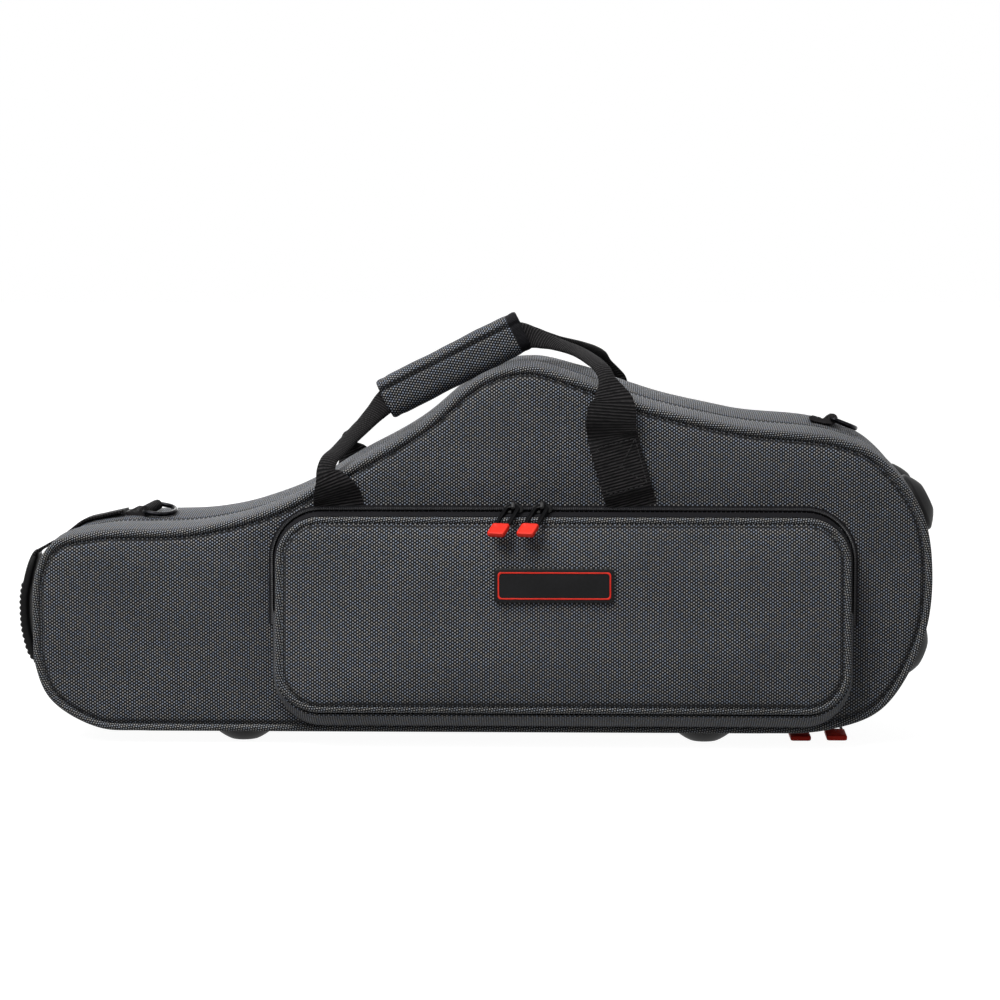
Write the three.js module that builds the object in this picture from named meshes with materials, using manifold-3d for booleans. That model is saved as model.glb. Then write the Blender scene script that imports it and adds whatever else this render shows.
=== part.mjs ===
// A contoured zip case for an alto saxophone, standing on its long straight edge.
// Millimetres, +Z up. X runs along the case, the pocket faces -Y, and the origin is
// under the middle of the whole object, on the surface that it stands on.
import * as THREE from "three";
import { mergeVertices } from "three/addons/utils/BufferGeometryUtils.js";
import Module from "manifold-3d";

const wasm = await Module();
wasm.setup();

// Body: the outline of the front panel, and the two shells that meet at the zip
const bodyLength = 690;
const bodyHeight = 282;
const lidDepth = 83;
const baseDepth = 107;
const lidCrown = 3;
const baseCrown = 4.5;
const rearFullness = 7;
const seamInset = 0.8;
const clearance = 0.3;
const coverWall = 2;
const boardWall = 8;
const liningWall = 4;
const trayFloor = 12;

// Piping and zip
const pipingDiameter = 5.6;
const pipingProud = 1.2;
const zipBand = 8;
const tapeThickness = 1.2;
const coilWidth = 3;
const coilProud = 0.8;

// Feet and end bumpers
const footHeight = 10;
const footRadius = 25;
const footFlatRadius = 11;
const footSetback = 32;
const bumperHeight = 8;
const bumperRadius = 23;
const bumperSetback = 38;

// Pocket on the lid: its seam on the lid, and how far its panel stands out and sets in
const pocketWidth = 441;
const pocketHeight = 166;
const pocketCorner = 36.5;
const pocketOffset = 63;
const pocketRise = 5;
const pocketSideSlant = 2.5;
const pocketTopSlant = 3;
const pocketBottomSlant = 15;
const pocketTopProud = 18;
const pocketBottomProud = 32;
const pocketPiping = 5.2;
const pocketTape = 4.2;
const pocketTapeThickness = 2;
const pocketWall = 2;
const panelThickness = 4;
const panelCrown = 5;
const foldRise = 88;
const badgeWidth = 90.5;
const badgeHeight = 25.8;
const badgeThickness = 2.4;
const badgeCorner = 3;

// Webbing, grip and end handle
const strapWidth = 38;
const strapThickness = 2.4;
const gripWall = 5;
const gripPlay = 0.7;
const endStrapWidth = 25;
const endStrapThickness = 2.4;
const endStrapDepth = 115;
const endGripWidth = 33;
const endGripThickness = 9.5;

// Shoulder strap rings and their tabs
const ringWire = 3.8;
const ringWidth = 32;
const ringReach = 24;
const ringGap = 0.8;
const tabWidth = 22;
const tabLength = 17;
const tabThickness = 2.2;
const tabDepth = 112;
const tabCrownShare = 0.68;

// Zip sliders and their pulls
const sliderLength = 14;
const sliderWidth = 8;
const sliderPlate = 3.4;
const bridgeWidth = 3;
const bridgeWall = 1.4;
const pullWire = 2.2;
const pullPlay = 1;
const pocketPull = { width: 11, frame: 26, tip: 15, thickness: 4 };
const mainPull = { width: 12, frame: 37, tip: 22, thickness: 4 };
const pocketSliderGap = 22;
const mainSliderGap = 28;
const mainSliderSetback = 2;

// One overrun for every cut
const overrun = 3;

const bodyDepth = lidDepth + baseDepth;
const halfGap = clearance / 2;

const material = (color, roughness, metalness = 0) =>
  new THREE.MeshStandardMaterial({ color, roughness, metalness });
const fabric = material(0x3b3d42, 0.85);
const pipingFabric = material(0x414348, 0.85);
const webbing = material(0x1b1b1d, 0.8);
const tape = material(0x161618, 0.85);
const foam = material(0x2a2a2c, 0.95);
const plush = material(0x232327, 1);
const rubber = material(0x1c1c1e, 0.55);
const blackMetal = material(0x18181a, 0.35, 0.9);
const badgeRubber = material(0x202022, 0.5);
const redRubber = material(0xd93a2b, 0.45);

// The front outline, clockwise from the left end: x as a share of the length, z as a share
// of the height, and how much of the rear fullness the rear shell takes there
const outlineShares = [
  [-0.500, 0.280, 0], [-0.497, 0.430, 0], [-0.478, 0.515, 0], [-0.430, 0.548, 0],
  [-0.320, 0.560, 0], [-0.225, 0.620, 0], [-0.148, 0.722, 0], [-0.067, 0.837, 0],
  [0.000, 0.967, 0], [0.052, 1.000, 0], [0.110, 0.962, 0.6], [0.172, 0.902, 1],
  [0.286, 0.837, 0.8], [0.396, 0.804, 0.8], [0.440, 0.757, 0.9], [0.487, 0.612, 0.7],
  [0.500, 0.440, 0.4], [0.490, 0.252, 0.2], [0.446, 0.069, 0], [0.385, 0.010, 0],
  [0.310, 0.000, 0], [0.220, 0.000, 0], [-0.370, 0.000, 0], [-0.430, 0.010, 0],
  [-0.481, 0.085, 0], [-0.498, 0.180, 0],
];
const hingeStartRow = 21;
const hingeEndRow = 22;
const samplesPerRow = 3;

const along = (xShare) => xShare * bodyLength;
const above = (zShare) => footHeight + zShare * bodyHeight;

const outline = outlineSamples();

function outlineSamples() {
  const rows = outlineShares;
  const points = rows.map(([x, z]) => new THREE.Vector3(along(x), 0, above(z)));
  const curve = new THREE.CatmullRomCurve3(points, true, "centripetal");
  const count = rows.length * samplesPerRow;
  return Array.from({ length: count }, (_, i) => {
    const t = i / count;
    const p = curve.getPoint(t);
    const d = curve.getTangent(t);
    const row = Math.floor(i / samplesPerRow);
    const part = (i % samplesPerRow) / samplesPerRow;
    const next = rows[(row + 1) % rows.length][2];
    const full = rows[row][2] * (1 - part) + next * part;
    const normal = new THREE.Vector3(-d.z, 0, d.x).normalize();
    p.z = Math.max(p.z, footHeight);
    return { p, normal, full, swell: Math.min(1, 1 + normal.z) };
  });
}

// A point of the body's surface at one sample of the outline, at depth y, set in by inset
// and swollen out by crown; the underside stays flat
function skin(sample, y, inset, crown = 0) {
  const out = (sample.full * rearFullness * y) / bodyDepth - inset + crown * sample.swell;
  return new THREE.Vector3(
    sample.p.x + sample.normal.x * out, y, sample.p.z + sample.normal.z * out);
}

const ring = (y, inset, crown = 0) => outline.map((s) => skin(s, y, inset, crown));

// Joins a row of rings of equal count into one closed skin with a fan at each end
function loft(rings) {
  const count = rings[0].length;
  const points = rings.flat();
  const first = points.length;
  points.push(middle(rings[0]), middle(rings[rings.length - 1]));
  const faces = [];
  for (let r = 0; r + 1 < rings.length; r++) {
    for (let i = 0; i < count; i++) {
      const a = r * count + i;
      const b = r * count + ((i + 1) % count);
      faces.push(a, b, b + count, a, b + count, a + count);
    }
  }
  const last = (rings.length - 1) * count;
  for (let i = 0; i < count; i++) {
    const j = (i + 1) % count;
    faces.push(first, j, i, first + 1, last + i, last + j);
  }
  return closedMesh(points, faces);
}

// Joins rings into a closed loop, such as piping that runs all the way round
function hoop(rings) {
  const count = rings[0].length;
  const points = rings.flat();
  const faces = [];
  for (let r = 0; r < rings.length; r++) {
    const s = (r + 1) % rings.length;
    for (let i = 0; i < count; i++) {
      const j = (i + 1) % count;
      faces.push(r * count + i, r * count + j, s * count + j);
      faces.push(r * count + i, s * count + j, s * count + i);
    }
  }
  return closedMesh(points, faces);
}

function middle(points) {
  const sum = new THREE.Vector3();
  points.forEach((p) => sum.add(p));
  return sum.divideScalar(points.length);
}

// Turns points and faces into a geometry whose faces look outwards
function closedMesh(points, faces) {
  let volume = 0;
  const cross = new THREE.Vector3();
  for (let i = 0; i < faces.length; i += 3) {
    cross.crossVectors(points[faces[i + 1]], points[faces[i + 2]]);
    volume += points[faces[i]].dot(cross);
  }
  if (volume < 0) {
    faces.reverse();
  }
  const geometry = new THREE.BufferGeometry();
  geometry.setAttribute(
    "position", new THREE.Float32BufferAttribute(points.flatMap((p) => p.toArray()), 3));
  geometry.setIndex(faces);
  return geometry;
}

function solid(geometry) {
  const bare = geometry.clone();
  bare.deleteAttribute("normal");
  bare.deleteAttribute("uv");
  const merged = mergeVertices(bare);
  return new wasm.Manifold(new wasm.Mesh({
    numProp: 3,
    vertProperties: new Float32Array(merged.attributes.position.array),
    triVerts: new Uint32Array(merged.index.array),
  }));
}

function geometryOf(body) {
  const mesh = body.getMesh();
  const geometry = new THREE.BufferGeometry();
  geometry.setAttribute("position", new THREE.BufferAttribute(mesh.vertProperties, 3));
  geometry.setIndex(new THREE.BufferAttribute(mesh.triVerts, 1));
  return geometry;
}

const model = new THREE.Group();

function add(name, geometry, finish) {
  const mesh = new THREE.Mesh(geometry, finish);
  mesh.name = name;
  model.add(mesh);
  return mesh;
}

// Depth from a shell's own face: the lid counts from the front, the base from the rear
const sides = {
  lid: { depth: lidDepth, crown: lidCrown, y: (d) => d },
  base: { depth: baseDepth, crown: baseCrown, y: (d) => bodyDepth - d },
};

// The cover's corner is notched for the piping
const notch = pipingDiameter + clearance + halfGap;
const notchDepth = pipingDiameter - pipingProud + clearance + halfGap;
const boardInset = seamInset + coverWall + clearance;
const liningInset = boardInset + boardWall + clearance;
const liningDepth = coverWall + clearance + boardWall + clearance;
const zipEdge = (side) => side.depth - zipBand;

// How a gusset swells between its two seams: shares of the way across and of the crown
const swellShares = [[0.2, 0.65], [0.5, 1], [0.8, 0.65]];

function gussetRings(side, grow) {
  const start = notchDepth;
  const span = zipEdge(side) - start;
  return swellShares.map(([way, share]) =>
    ring(side.y(start + span * way), seamInset - grow, side.crown * share));
}

// Fabric cover: one panel and its gusset, with the padding that swells the gusset
function coverShell(side) {
  const inner = seamInset + coverWall;
  const step = notchDepth + coverWall;
  return loft([
    ring(side.y(0), notch),
    ring(side.y(notchDepth), notch),
    ring(side.y(notchDepth), seamInset),
    ...gussetRings(side, 0),
    ring(side.y(zipEdge(side)), seamInset),
    ring(side.y(zipEdge(side)), inner),
    ring(side.y(step), inner),
    ring(side.y(step), notch + coverWall),
    ring(side.y(coverWall), notch + coverWall),
  ]);
}

// Stiff board inside the cover, a dish with a step behind the piping
function boardShell(side) {
  const step = notchDepth + coverWall + clearance;
  const face = coverWall + clearance;
  const inner = boardInset + boardWall;
  return loft([
    ring(side.y(face), notch + face),
    ring(side.y(step), notch + face),
    ring(side.y(step), boardInset),
    ring(side.y(side.depth - halfGap), boardInset),
    ring(side.y(side.depth - halfGap), inner),
    ring(side.y(face + boardWall), inner),
  ]);
}

// Piping: a round welt in the notch, all the way round
function bodyPiping(side) {
  const radius = pipingDiameter / 2;
  const centreInset = radius + halfGap;
  const centreDepth = radius - pipingProud;
  const turns = 6;
  return hoop(Array.from({ length: turns }, (_, k) => {
    const angle = (2 * Math.PI * k) / turns;
    return ring(
      side.y(centreDepth + radius * Math.cos(angle)), centreInset + radius * Math.sin(angle));
  }));
}

// The samples of the outline from one row of the table to another, ends included
function samplesBetween(startRow, endRow) {
  const start = startRow * samplesPerRow;
  const end = endRow * samplesPerRow;
  const count = (end - start + outline.length) % outline.length;
  return Array.from({ length: count + 1 }, (_, i) => outline[(start + i) % outline.length]);
}

// Half of the zip: tape with its row of coil at the parting plane. It stops at the hinge.
function zipHalf(side) {
  const start = side.y(zipEdge(side) + clearance);
  const coil = side.y(side.depth - coilWidth);
  const edge = side.y(side.depth - halfGap);
  const outer = seamInset + coilProud;
  return loft(samplesBetween(hingeEndRow, hingeStartRow).map((s) => [
    skin(s, start, outer),
    skin(s, coil, outer),
    skin(s, edge, outer - coilProud),
    skin(s, edge, outer + tapeThickness),
    skin(s, start, outer + tapeThickness),
  ]));
}

add("lid_cover", coverShell(sides.lid), fabric);
add("lid_board", boardShell(sides.lid), foam);
add("lid_piping", bodyPiping(sides.lid), pipingFabric);
add("lid_zip_tape", zipHalf(sides.lid), tape);
add("base_cover", coverShell(sides.base), fabric);
add("base_board", boardShell(sides.base), foam);
add("base_piping", bodyPiping(sides.base), pipingFabric);
add("base_zip_tape", zipHalf(sides.base), tape);

// Plush lining of the lid: a thin dish inside the board
add("lid_lining", loft([
  ring(liningDepth, liningInset),
  ring(lidDepth - halfGap, liningInset),
  ring(lidDepth - halfGap, liningInset + liningWall),
  ring(liningDepth + liningWall, liningInset + liningWall),
]), plush);

// Fabric hinge: a strip across the parting plane, between the two ends of the zip.
// It stops short of the zip's ends.
function hingeTape() {
  const strip = samplesBetween(hingeStartRow, hingeEndRow);
  const outer = seamInset + coilProud;
  const front = zipEdge(sides.lid) + clearance;
  const back = bodyDepth - zipEdge(sides.base) - clearance;
  const sections = strip.map((s) => [
    skin(s, front, outer),
    skin(s, back, outer),
    skin(s, back, outer + tapeThickness),
    skin(s, front, outer + tapeThickness),
  ]);
  const ends = [sections[0], sections[sections.length - 1]];
  ends[0].forEach((p) => { p.x -= clearance; });
  ends[1].forEach((p) => { p.x += clearance; });
  return loft(sections);
}
add("hinge_tape", hingeTape(), fabric);

// The space for the instrument, as shares of the body's length and height: channels from
// one end to the other with a width, then the bell's outline
const trayChannelShares = [
  [[-0.385, 0.215], [0.300, 0.225], 0.29],
  [[0.315, 0.390], [0.325, 0.400], 0.62],
  [[-0.395, 0.445], [-0.230, 0.445], 0.11],
  [[-0.165, 0.530], [-0.070, 0.690], 0.16],
];
const bellShares = [[-0.010, 0.480], [0.020, 0.900], [0.100, 0.890], [0.360, 0.680], [0.300, 0.300]];

function capsule(start, end, width) {
  const a = new THREE.Vector2(along(start[0]), above(start[1]));
  const b = new THREE.Vector2(along(end[0]), above(end[1]));
  const turn = Math.atan2(b.y - a.y, b.x - a.x);
  const shape = new THREE.Shape();
  shape.absarc(b.x, b.y, width / 2, turn - Math.PI / 2, turn + Math.PI / 2);
  shape.absarc(a.x, a.y, width / 2, turn + Math.PI / 2, turn + 1.5 * Math.PI);
  return shape;
}

// A flat outline in x and z, pushed from the parting plane towards the rear
function trayCut(shape, depth) {
  const geometry = new THREE.ExtrudeGeometry(
    shape, { depth: depth + overrun, bevelEnabled: false, curveSegments: 7 });
  geometry.rotateX(Math.PI / 2);
  geometry.translate(0, lidDepth + depth, 0);
  return solid(geometry);
}

function baseTray() {
  const back = bodyDepth - liningDepth;
  const front = lidDepth + halfGap;
  let tray = solid(loft([ring(back, liningInset), ring(front, liningInset)]));
  const depth = back - trayFloor - lidDepth;
  for (const [start, end, widthShare] of trayChannelShares) {
    tray = tray.subtract(trayCut(capsule(start, end, widthShare * bodyHeight), depth));
  }
  const bell = new THREE.Shape(bellShares.map(([x, z]) => new THREE.Vector2(along(x), above(z))));
  return geometryOf(tray.subtract(trayCut(bell, depth)));
}
add("base_tray", baseTray(), plush);

// The body's outer form, grown by the clearance: everything that is sewn or riveted on is
// cut back by it, so it follows the surface
const bodyForm = solid(loft([
  ring(-clearance, notch),
  ring(notchDepth, seamInset - clearance),
  ...gussetRings(sides.lid, clearance),
  ring(zipEdge(sides.lid), seamInset - clearance),
  ring(bodyDepth - zipEdge(sides.base), seamInset - clearance),
  ...gussetRings(sides.base, clearance).reverse(),
  ring(bodyDepth - notchDepth, seamInset - clearance),
  ring(bodyDepth + clearance, notch),
]));
const seat = (geometry) => geometryOf(solid(geometry).subtract(bodyForm));

// The surface of the body's upper side at x, or of its right end at height z
function surfaceAt(y, crown, test) {
  for (let i = 0; i < outline.length; i++) {
    const j = (i + 1) % outline.length;
    const a = skin(outline[i], y, seamInset, crown);
    const b = skin(outline[j], y, seamInset, crown);
    const part = test(a, b, outline[i]);
    if (part >= 0 && part < 1) {
      const normal = new THREE.Vector3().lerpVectors(outline[i].normal, outline[j].normal, part);
      return { point: a.lerp(b, part), normal: normal.normalize() };
    }
  }
  throw new Error("no such place on the outline");
}
const topAt = (x, y, crown) =>
  surfaceAt(y, crown, (a, b, s) => (s.normal.z > 0.2 ? (x - a.x) / (b.x - a.x) : -1));
const endAt = (z, y, crown) =>
  surfaceAt(y, crown, (a, b, s) => (s.normal.x > 0.2 ? (z - a.z) / (b.z - a.z) : -1));

const underAt = (x, y) =>
  surfaceAt(y, 0, (a, b, s) => (s.normal.z < -0.2 ? (x - a.x) / (b.x - a.x) : -1));

// Moulded rubber dome with a small flat, used as a foot and as an end bumper
function dome(radius, height) {
  const profile = [
    [0, 0], [footFlatRadius, 0], [radius * 0.8, height * 0.22], [radius * 0.96, height * 0.5],
    [radius, height * 0.85], [radius, height + overrun], [0, height + overrun],
  ].map(([r, z]) => new THREE.Vector2(r, z));
  const geometry = new THREE.LatheGeometry(profile, 14);
  geometry.rotateX(Math.PI / 2);
  return geometry;
}

const footShares = { left: -0.269, right: 0.251 };
for (const [place, side] of [["front", sides.lid], ["rear", sides.base]]) {
  for (const [hand, xShare] of Object.entries(footShares)) {
    const foot = dome(footRadius, footHeight);
    foot.translate(along(xShare), side.y(footSetback), 0);
    add(`foot_${place}_${hand}`, seat(foot), rubber);
  }
}

const bumperShares = { upper: 0.625, lower: 0.215 };
for (const [place, side] of [["front", sides.lid], ["rear", sides.base]]) {
  for (const [level, zShare] of Object.entries(bumperShares)) {
    const y = side.y(bumperSetback);
    const { point, normal } = endAt(above(zShare), y, side.crown);
    const bumper = dome(bumperRadius, bumperHeight);
    const tip = point.clone().addScaledVector(normal, bumperHeight);
    const across = new THREE.Vector3(0, 1, 0);
    const facing = new THREE.Matrix4().makeBasis(
      across, across.clone().cross(normal), normal.clone().negate());
    facing.setPosition(tip);
    bumper.applyMatrix4(facing);
    add(`bumper_${place}_${level}`, seat(bumper), rubber);
  }
}

// Pocket: a rounded rectangle on the lid (way 0) that sets in and stands out to the panel
// (way 1); margin grows it all round
const pocketBottom = footHeight + pocketRise;
const pocketTop = pocketBottom + pocketHeight;
const cornerSteps = 5;

function pocketRing(way, margin, lift = 0) {
  const left = pocketOffset - pocketWidth / 2 + pocketSideSlant * way - margin;
  const right = pocketOffset + pocketWidth / 2 - pocketSideSlant * way + margin;
  const low = pocketBottom + pocketBottomSlant * way - margin;
  const high = pocketTop - pocketTopSlant * way + margin;
  const radius = pocketCorner + margin - pocketSideSlant * way;
  const corners = [
    [right - radius, high - radius], [left + radius, high - radius],
    [left + radius, low + radius], [right - radius, low + radius],
  ];
  return corners.flatMap(([x, z], quarter) =>
    Array.from({ length: cornerSteps + 1 }, (_, i) => {
      const angle = (quarter + i / cornerSteps) * (Math.PI / 2);
      const height = z + radius * Math.sin(angle);
      return new THREE.Vector3(
        x + radius * Math.cos(angle), -panelProud(height) * way - lift, height);
    }));
}

// How far the panel's plane stands out from the lid at height z
function panelProud(z) {
  const part = (pocketTop - z) / pocketHeight;
  return pocketTopProud + (pocketBottomProud - pocketTopProud) * part;
}

// A ring drawn in towards its middle and pushed out by the panel's crown
function panelRing(margin, spreadShare, crownShare) {
  const edge = pocketRing(1, margin);
  const centre = middle(edge);
  return edge.map((p) => {
    const q = p.clone().lerp(centre, 1 - spreadShare);
    q.y = -panelProud(q.z) - panelCrown * crownShare;
    return q;
  });
}
const panelShares = [[0.9, 0.35], [0.7, 0.75], [0.4, 1]];

function panelForm(grow) {
  const margin = -pocketPiping - clearance;
  const front = panelShares.map(([spread, crown]) => panelRing(margin, spread, crown));
  const back = pocketRing(1, margin, -panelThickness);
  const rings = [back, pocketRing(1, margin), ...front];
  rings.forEach((r) => r.forEach((p) => { p.y -= grow; }));
  return solid(loft(rings));
}

// A wall of the pocket between two ways, and a flat band on the lid
const pocketLift = clearance + pocketTapeThickness;
const wallWay = 1 - (pocketPiping + clearance) / pocketTopProud;
const pocketWallForm = solid(hoop([
  pocketRing(0, 0, clearance), pocketRing(wallWay, 0, clearance),
  pocketRing(wallWay, -pocketWall, clearance), pocketRing(0, -pocketWall, clearance),
]));
const pocketTapeForm = solid(hoop([
  pocketRing(0, clearance, clearance), pocketRing(0, pocketTape, clearance),
  pocketRing(0, pocketTape, pocketLift), pocketRing(0, clearance, pocketLift),
]));
const pipingTurns = 6;
const pocketPipingForm = solid(hoop(Array.from({ length: pipingTurns }, (_, k) => {
  const angle = (2 * Math.PI * k) / pipingTurns;
  const radius = pocketPiping / 2;
  return pocketRing(1, radius * Math.cos(angle) - radius, radius * Math.sin(angle) - radius);
})));

// The pocket opens along a fold: what is above it is the flap
const foldHeight = footHeight + foldRise;
const foldFront = -panelProud(foldHeight) - panelCrown;

function halfOf(form, above) {
  const size = bodyLength + bodyDepth;
  const box = new THREE.BoxGeometry(size, size, size);
  const edge = above ? foldHeight + halfGap : foldHeight - halfGap;
  box.translate(0, 0, above ? edge + size / 2 : edge - size / 2);
  return geometryOf(form.intersect(solid(box)));
}

const panel = panelForm(0);
add("pocket_panel_upper", halfOf(panel, true), fabric);
add("pocket_panel_lower", halfOf(panel, false), fabric);
add("pocket_piping_upper", halfOf(pocketPipingForm, true), pipingFabric);
add("pocket_piping_lower", halfOf(pocketPipingForm, false), pipingFabric);
add("pocket_zip_tape_flap", halfOf(pocketWallForm, true), tape);
add("pocket_gusset", halfOf(pocketWallForm, false), fabric);
add("pocket_zip_tape_shell", halfOf(pocketTapeForm, true), tape);

// A rectangle with rounded corners, centred on the origin
function roundedShape(width, height, corner) {
  const x = width / 2 - corner;
  const z = height / 2 - corner;
  const shape = new THREE.Shape();
  shape.absarc(x, z, corner, 0, Math.PI / 2);
  shape.absarc(-x, z, corner, Math.PI / 2, Math.PI);
  shape.absarc(-x, -z, corner, Math.PI, 1.5 * Math.PI);
  shape.absarc(x, -z, corner, 1.5 * Math.PI, 2 * Math.PI);
  return shape;
}

const pushed = (shape, depth, steps = 3) => new THREE.ExtrudeGeometry(
  shape, { depth, bevelEnabled: false, curveSegments: steps });

// Badge: a thin moulded plate that follows the panel
const badgeShares = { x: -0.0138, z: 0.677 };
const badgeX = pocketOffset + badgeShares.x * pocketWidth;
const badgeZ = pocketBottom + badgeShares.z * pocketHeight;
const badgeSlope = Math.atan((pocketBottomProud - pocketTopProud) / pocketHeight);
const badgeBlock = pushed(
  roundedShape(badgeWidth, badgeHeight, badgeCorner), badgeThickness + overrun);
badgeBlock.translate(0, 0, -overrun);
badgeBlock.rotateX(Math.PI / 2 - badgeSlope);
badgeBlock.translate(badgeX, -panelProud(badgeZ) - panelCrown, badgeZ);
add("badge", geometryOf(solid(badgeBlock).subtract(panelForm(clearance))), badgeRubber);

// Webbing straps of the handle: place along the length, depth into the shell, height, how
// far the face has turned upwards, width, and thickness in layers of webbing
const foldedShares = [0.55, 3.2];
const leftLegShares = [
  [-0.1588, 0, 0.640, 0, 1, 1], [-0.1598, 0, 0.664, 0, 0.9, 1],
  [-0.1640, -0.016, 0.708, 0.1, 0.6, 1.6], [-0.1638, 0.060, 0.744, 0.5, 0.5, 2.6],
  [-0.1494, 0.322, 0.794, 0.6, ...foldedShares], [-0.1315, 0.730, 0.848, 0.35, ...foldedShares],
];
const rightLegShares = [
  [0.0775, 0.876, 1.058, 0.6, ...foldedShares], [0.1010, 0.587, 1.038, 0.75, ...foldedShares],
  [0.1301, 0.225, 0.998, 0.8, ...foldedShares], [0.1430, 0.057, 0.979, 0.6, 0.5, 2.6],
  [0.1441, -0.010, 0.953, 0.2, 0.65, 1.5], [0.1441, 0, 0.922, 0, 0.85, 1],
  [0.1450, 0, 0.825, 0, 1, 1], [0.1458, 0, 0.812, 0, 1, 2], [0.1632, 0, 0.656, 0, 1, 2],
];
const gripShares = [[-0.1126, 0.893], [0.0463, 1.09]];
const gripRunShare = 0.07;

// Sweeps a flat band through rows of place, facing, width and thickness
function band(rows) {
  return loft(rows.map(({ at, facing, width, thickness }, i) => {
    const before = rows[Math.max(i - 1, 0)].at;
    const after = rows[Math.min(i + 1, rows.length - 1)].at;
    const ahead = after.clone().sub(before).normalize();
    const across = facing.clone().cross(ahead).normalize();
    const through = ahead.clone().cross(across);
    return [[-1, -1], [1, -1], [1, 1], [-1, 1]].map(([u, v]) => at.clone()
      .addScaledVector(across, (u * width) / 2)
      .addScaledVector(through, (v * thickness) / 2));
  }));
}

const strapStandoff = pipingProud + clearance + strapThickness / 2;
const foldedThickness = strapThickness * foldedShares[1];
const foldedWidth = strapWidth * foldedShares[0];
const gripDepth = halfGap + gripPlay / 2 + foldedThickness / 2;

function strapRow(side, [xShare, depthShare, zShare, turn, widthShare, layers]) {
  const outward = side.y(0) - side.y(1);
  const lift = side === sides.base ? rearFullness * (1 - depthShare) : 0;
  const angle = (turn * Math.PI) / 2;
  return {
    at: new THREE.Vector3(
      along(xShare), side.y(depthShare * side.depth - strapStandoff), above(zShare) + lift),
    facing: new THREE.Vector3(0, outward * Math.cos(angle), Math.sin(angle)),
    width: strapWidth * widthShare,
    thickness: strapThickness * layers,
  };
}

function handleStrap(side) {
  const outward = side.y(0) - side.y(1);
  const [start, end] = gripShares.map(([xShare, zShare]) =>
    new THREE.Vector3(along(xShare), side.y(side.depth - gripDepth), above(zShare)));
  const held = [-gripRunShare, 0, 1, 1 + gripRunShare].map((part) => ({
    at: start.clone().lerp(end, part),
    facing: new THREE.Vector3(0, outward, 0),
    width: foldedWidth,
    thickness: foldedThickness,
  }));
  return band([
    ...leftLegShares.map((row) => strapRow(side, row)), ...held,
    ...rightLegShares.map((row) => strapRow(side, row)),
  ]);
}
add("handle_strap_front", handleStrap(sides.lid), webbing);
add("handle_strap_rear", handleStrap(sides.base), webbing);

// Padded wrap round both straps: two halves that close on each other at the parting plane
function gripHalf(side) {
  const inner = gripDepth + foldedThickness / 2 + gripPlay;
  const innerHalf = foldedWidth / 2 + gripPlay;
  const outer = inner + gripWall;
  const outerHalf = innerHalf + gripWall;
  const bevelShare = 0.6;
  const profile = new THREE.Shape([
    [halfGap, innerHalf], [inner, innerHalf], [inner, -innerHalf], [halfGap, -innerHalf],
    [halfGap, -outerHalf], [outer * bevelShare, -outerHalf], [outer, -outerHalf * bevelShare],
    [outer, outerHalf * bevelShare], [outer * bevelShare, outerHalf], [halfGap, outerHalf],
  ].map(([u, v]) => new THREE.Vector2(u, v)));
  const [start, end] = gripShares.map(([x, z]) => new THREE.Vector3(along(x), lidDepth, above(z)));
  const direction = end.clone().sub(start);
  const geometry = pushed(profile, direction.length());
  direction.normalize();
  const out = new THREE.Vector3(0, side.y(0) - side.y(1), 0);
  const frame = new THREE.Matrix4().makeBasis(out, direction.clone().cross(out), direction);
  frame.setPosition(start);
  geometry.applyMatrix4(frame);
  return geometry;
}
add("grip_wrap_front", gripHalf(sides.lid), fabric);
add("grip_wrap_rear", gripHalf(sides.base), fabric);

// End handle: a strap sewn round the left end, x and z as shares of the body, with a ribbed
// moulded grip on its middle
const endStrapShares = [
  [-0.4609, 0.030], [-0.4826, 0.041], [-0.5014, 0.064], [-0.5145, 0.092], [-0.5232, 0.124],
  [-0.5319, 0.161], [-0.5361, 0.197], [-0.5394, 0.240], [-0.5403, 0.294], [-0.5396, 0.330],
  [-0.5364, 0.372], [-0.5309, 0.427], [-0.5275, 0.450], [-0.5145, 0.470], [-0.4986, 0.492],
  [-0.4870, 0.512], [-0.4696, 0.543], [-0.4478, 0.557], [-0.4225, 0.571],
];
const endGripRows = [4, 13];

function endStrapRows(grow) {
  return endStrapShares.map(([xShare, zShare], i) => {
    const from = endStrapShares[Math.max(i - 1, 0)];
    const to = endStrapShares[Math.min(i + 1, endStrapShares.length - 1)];
    const facing = new THREE.Vector3(above(from[1]) - above(to[1]), 0, along(to[0]) - along(from[0]));
    return {
      at: new THREE.Vector3(along(xShare), endStrapDepth, above(zShare)),
      facing: facing.normalize(),
      width: endStrapWidth + 2 * grow,
      thickness: endStrapThickness + 2 * grow,
    };
  });
}
add("end_handle_strap", seat(band(endStrapRows(0))), webbing);

function endGrip() {
  const [first, last] = endGripRows;
  const rows = endStrapRows(0).slice(first, last).map((row, i) => {
    const swellShare = i === 0 || i === last - first - 1 ? 0.8 : 1;
    return { ...row, width: endGripWidth * swellShare, thickness: endGripThickness * swellShare };
  });
  return geometryOf(solid(band(rows)).subtract(solid(band(endStrapRows(clearance)))));
}
add("end_handle_grip", endGrip(), rubber);

// A closed loop of round wire through points of its centre line, in the plane with normal up
function wireLoop(points, radius, up) {
  const turns = 6;
  return hoop(points.map((p, i) => {
    const before = points[(i + points.length - 1) % points.length];
    const after = points[(i + 1) % points.length];
    const ahead = after.clone().sub(before).normalize();
    const across = up.clone().cross(ahead).normalize();
    return Array.from({ length: turns }, (_, k) => {
      const angle = (2 * Math.PI * k) / turns;
      return p.clone().addScaledVector(across, radius * Math.cos(angle))
        .addScaledVector(up, radius * Math.sin(angle));
    });
  }));
}

// Ring and tab: built flat, with the tab's eye at the origin and the ring towards +X
const eyeRadius = ringWire / 2 + clearance;
const tabOuter = eyeRadius + tabThickness;

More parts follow.
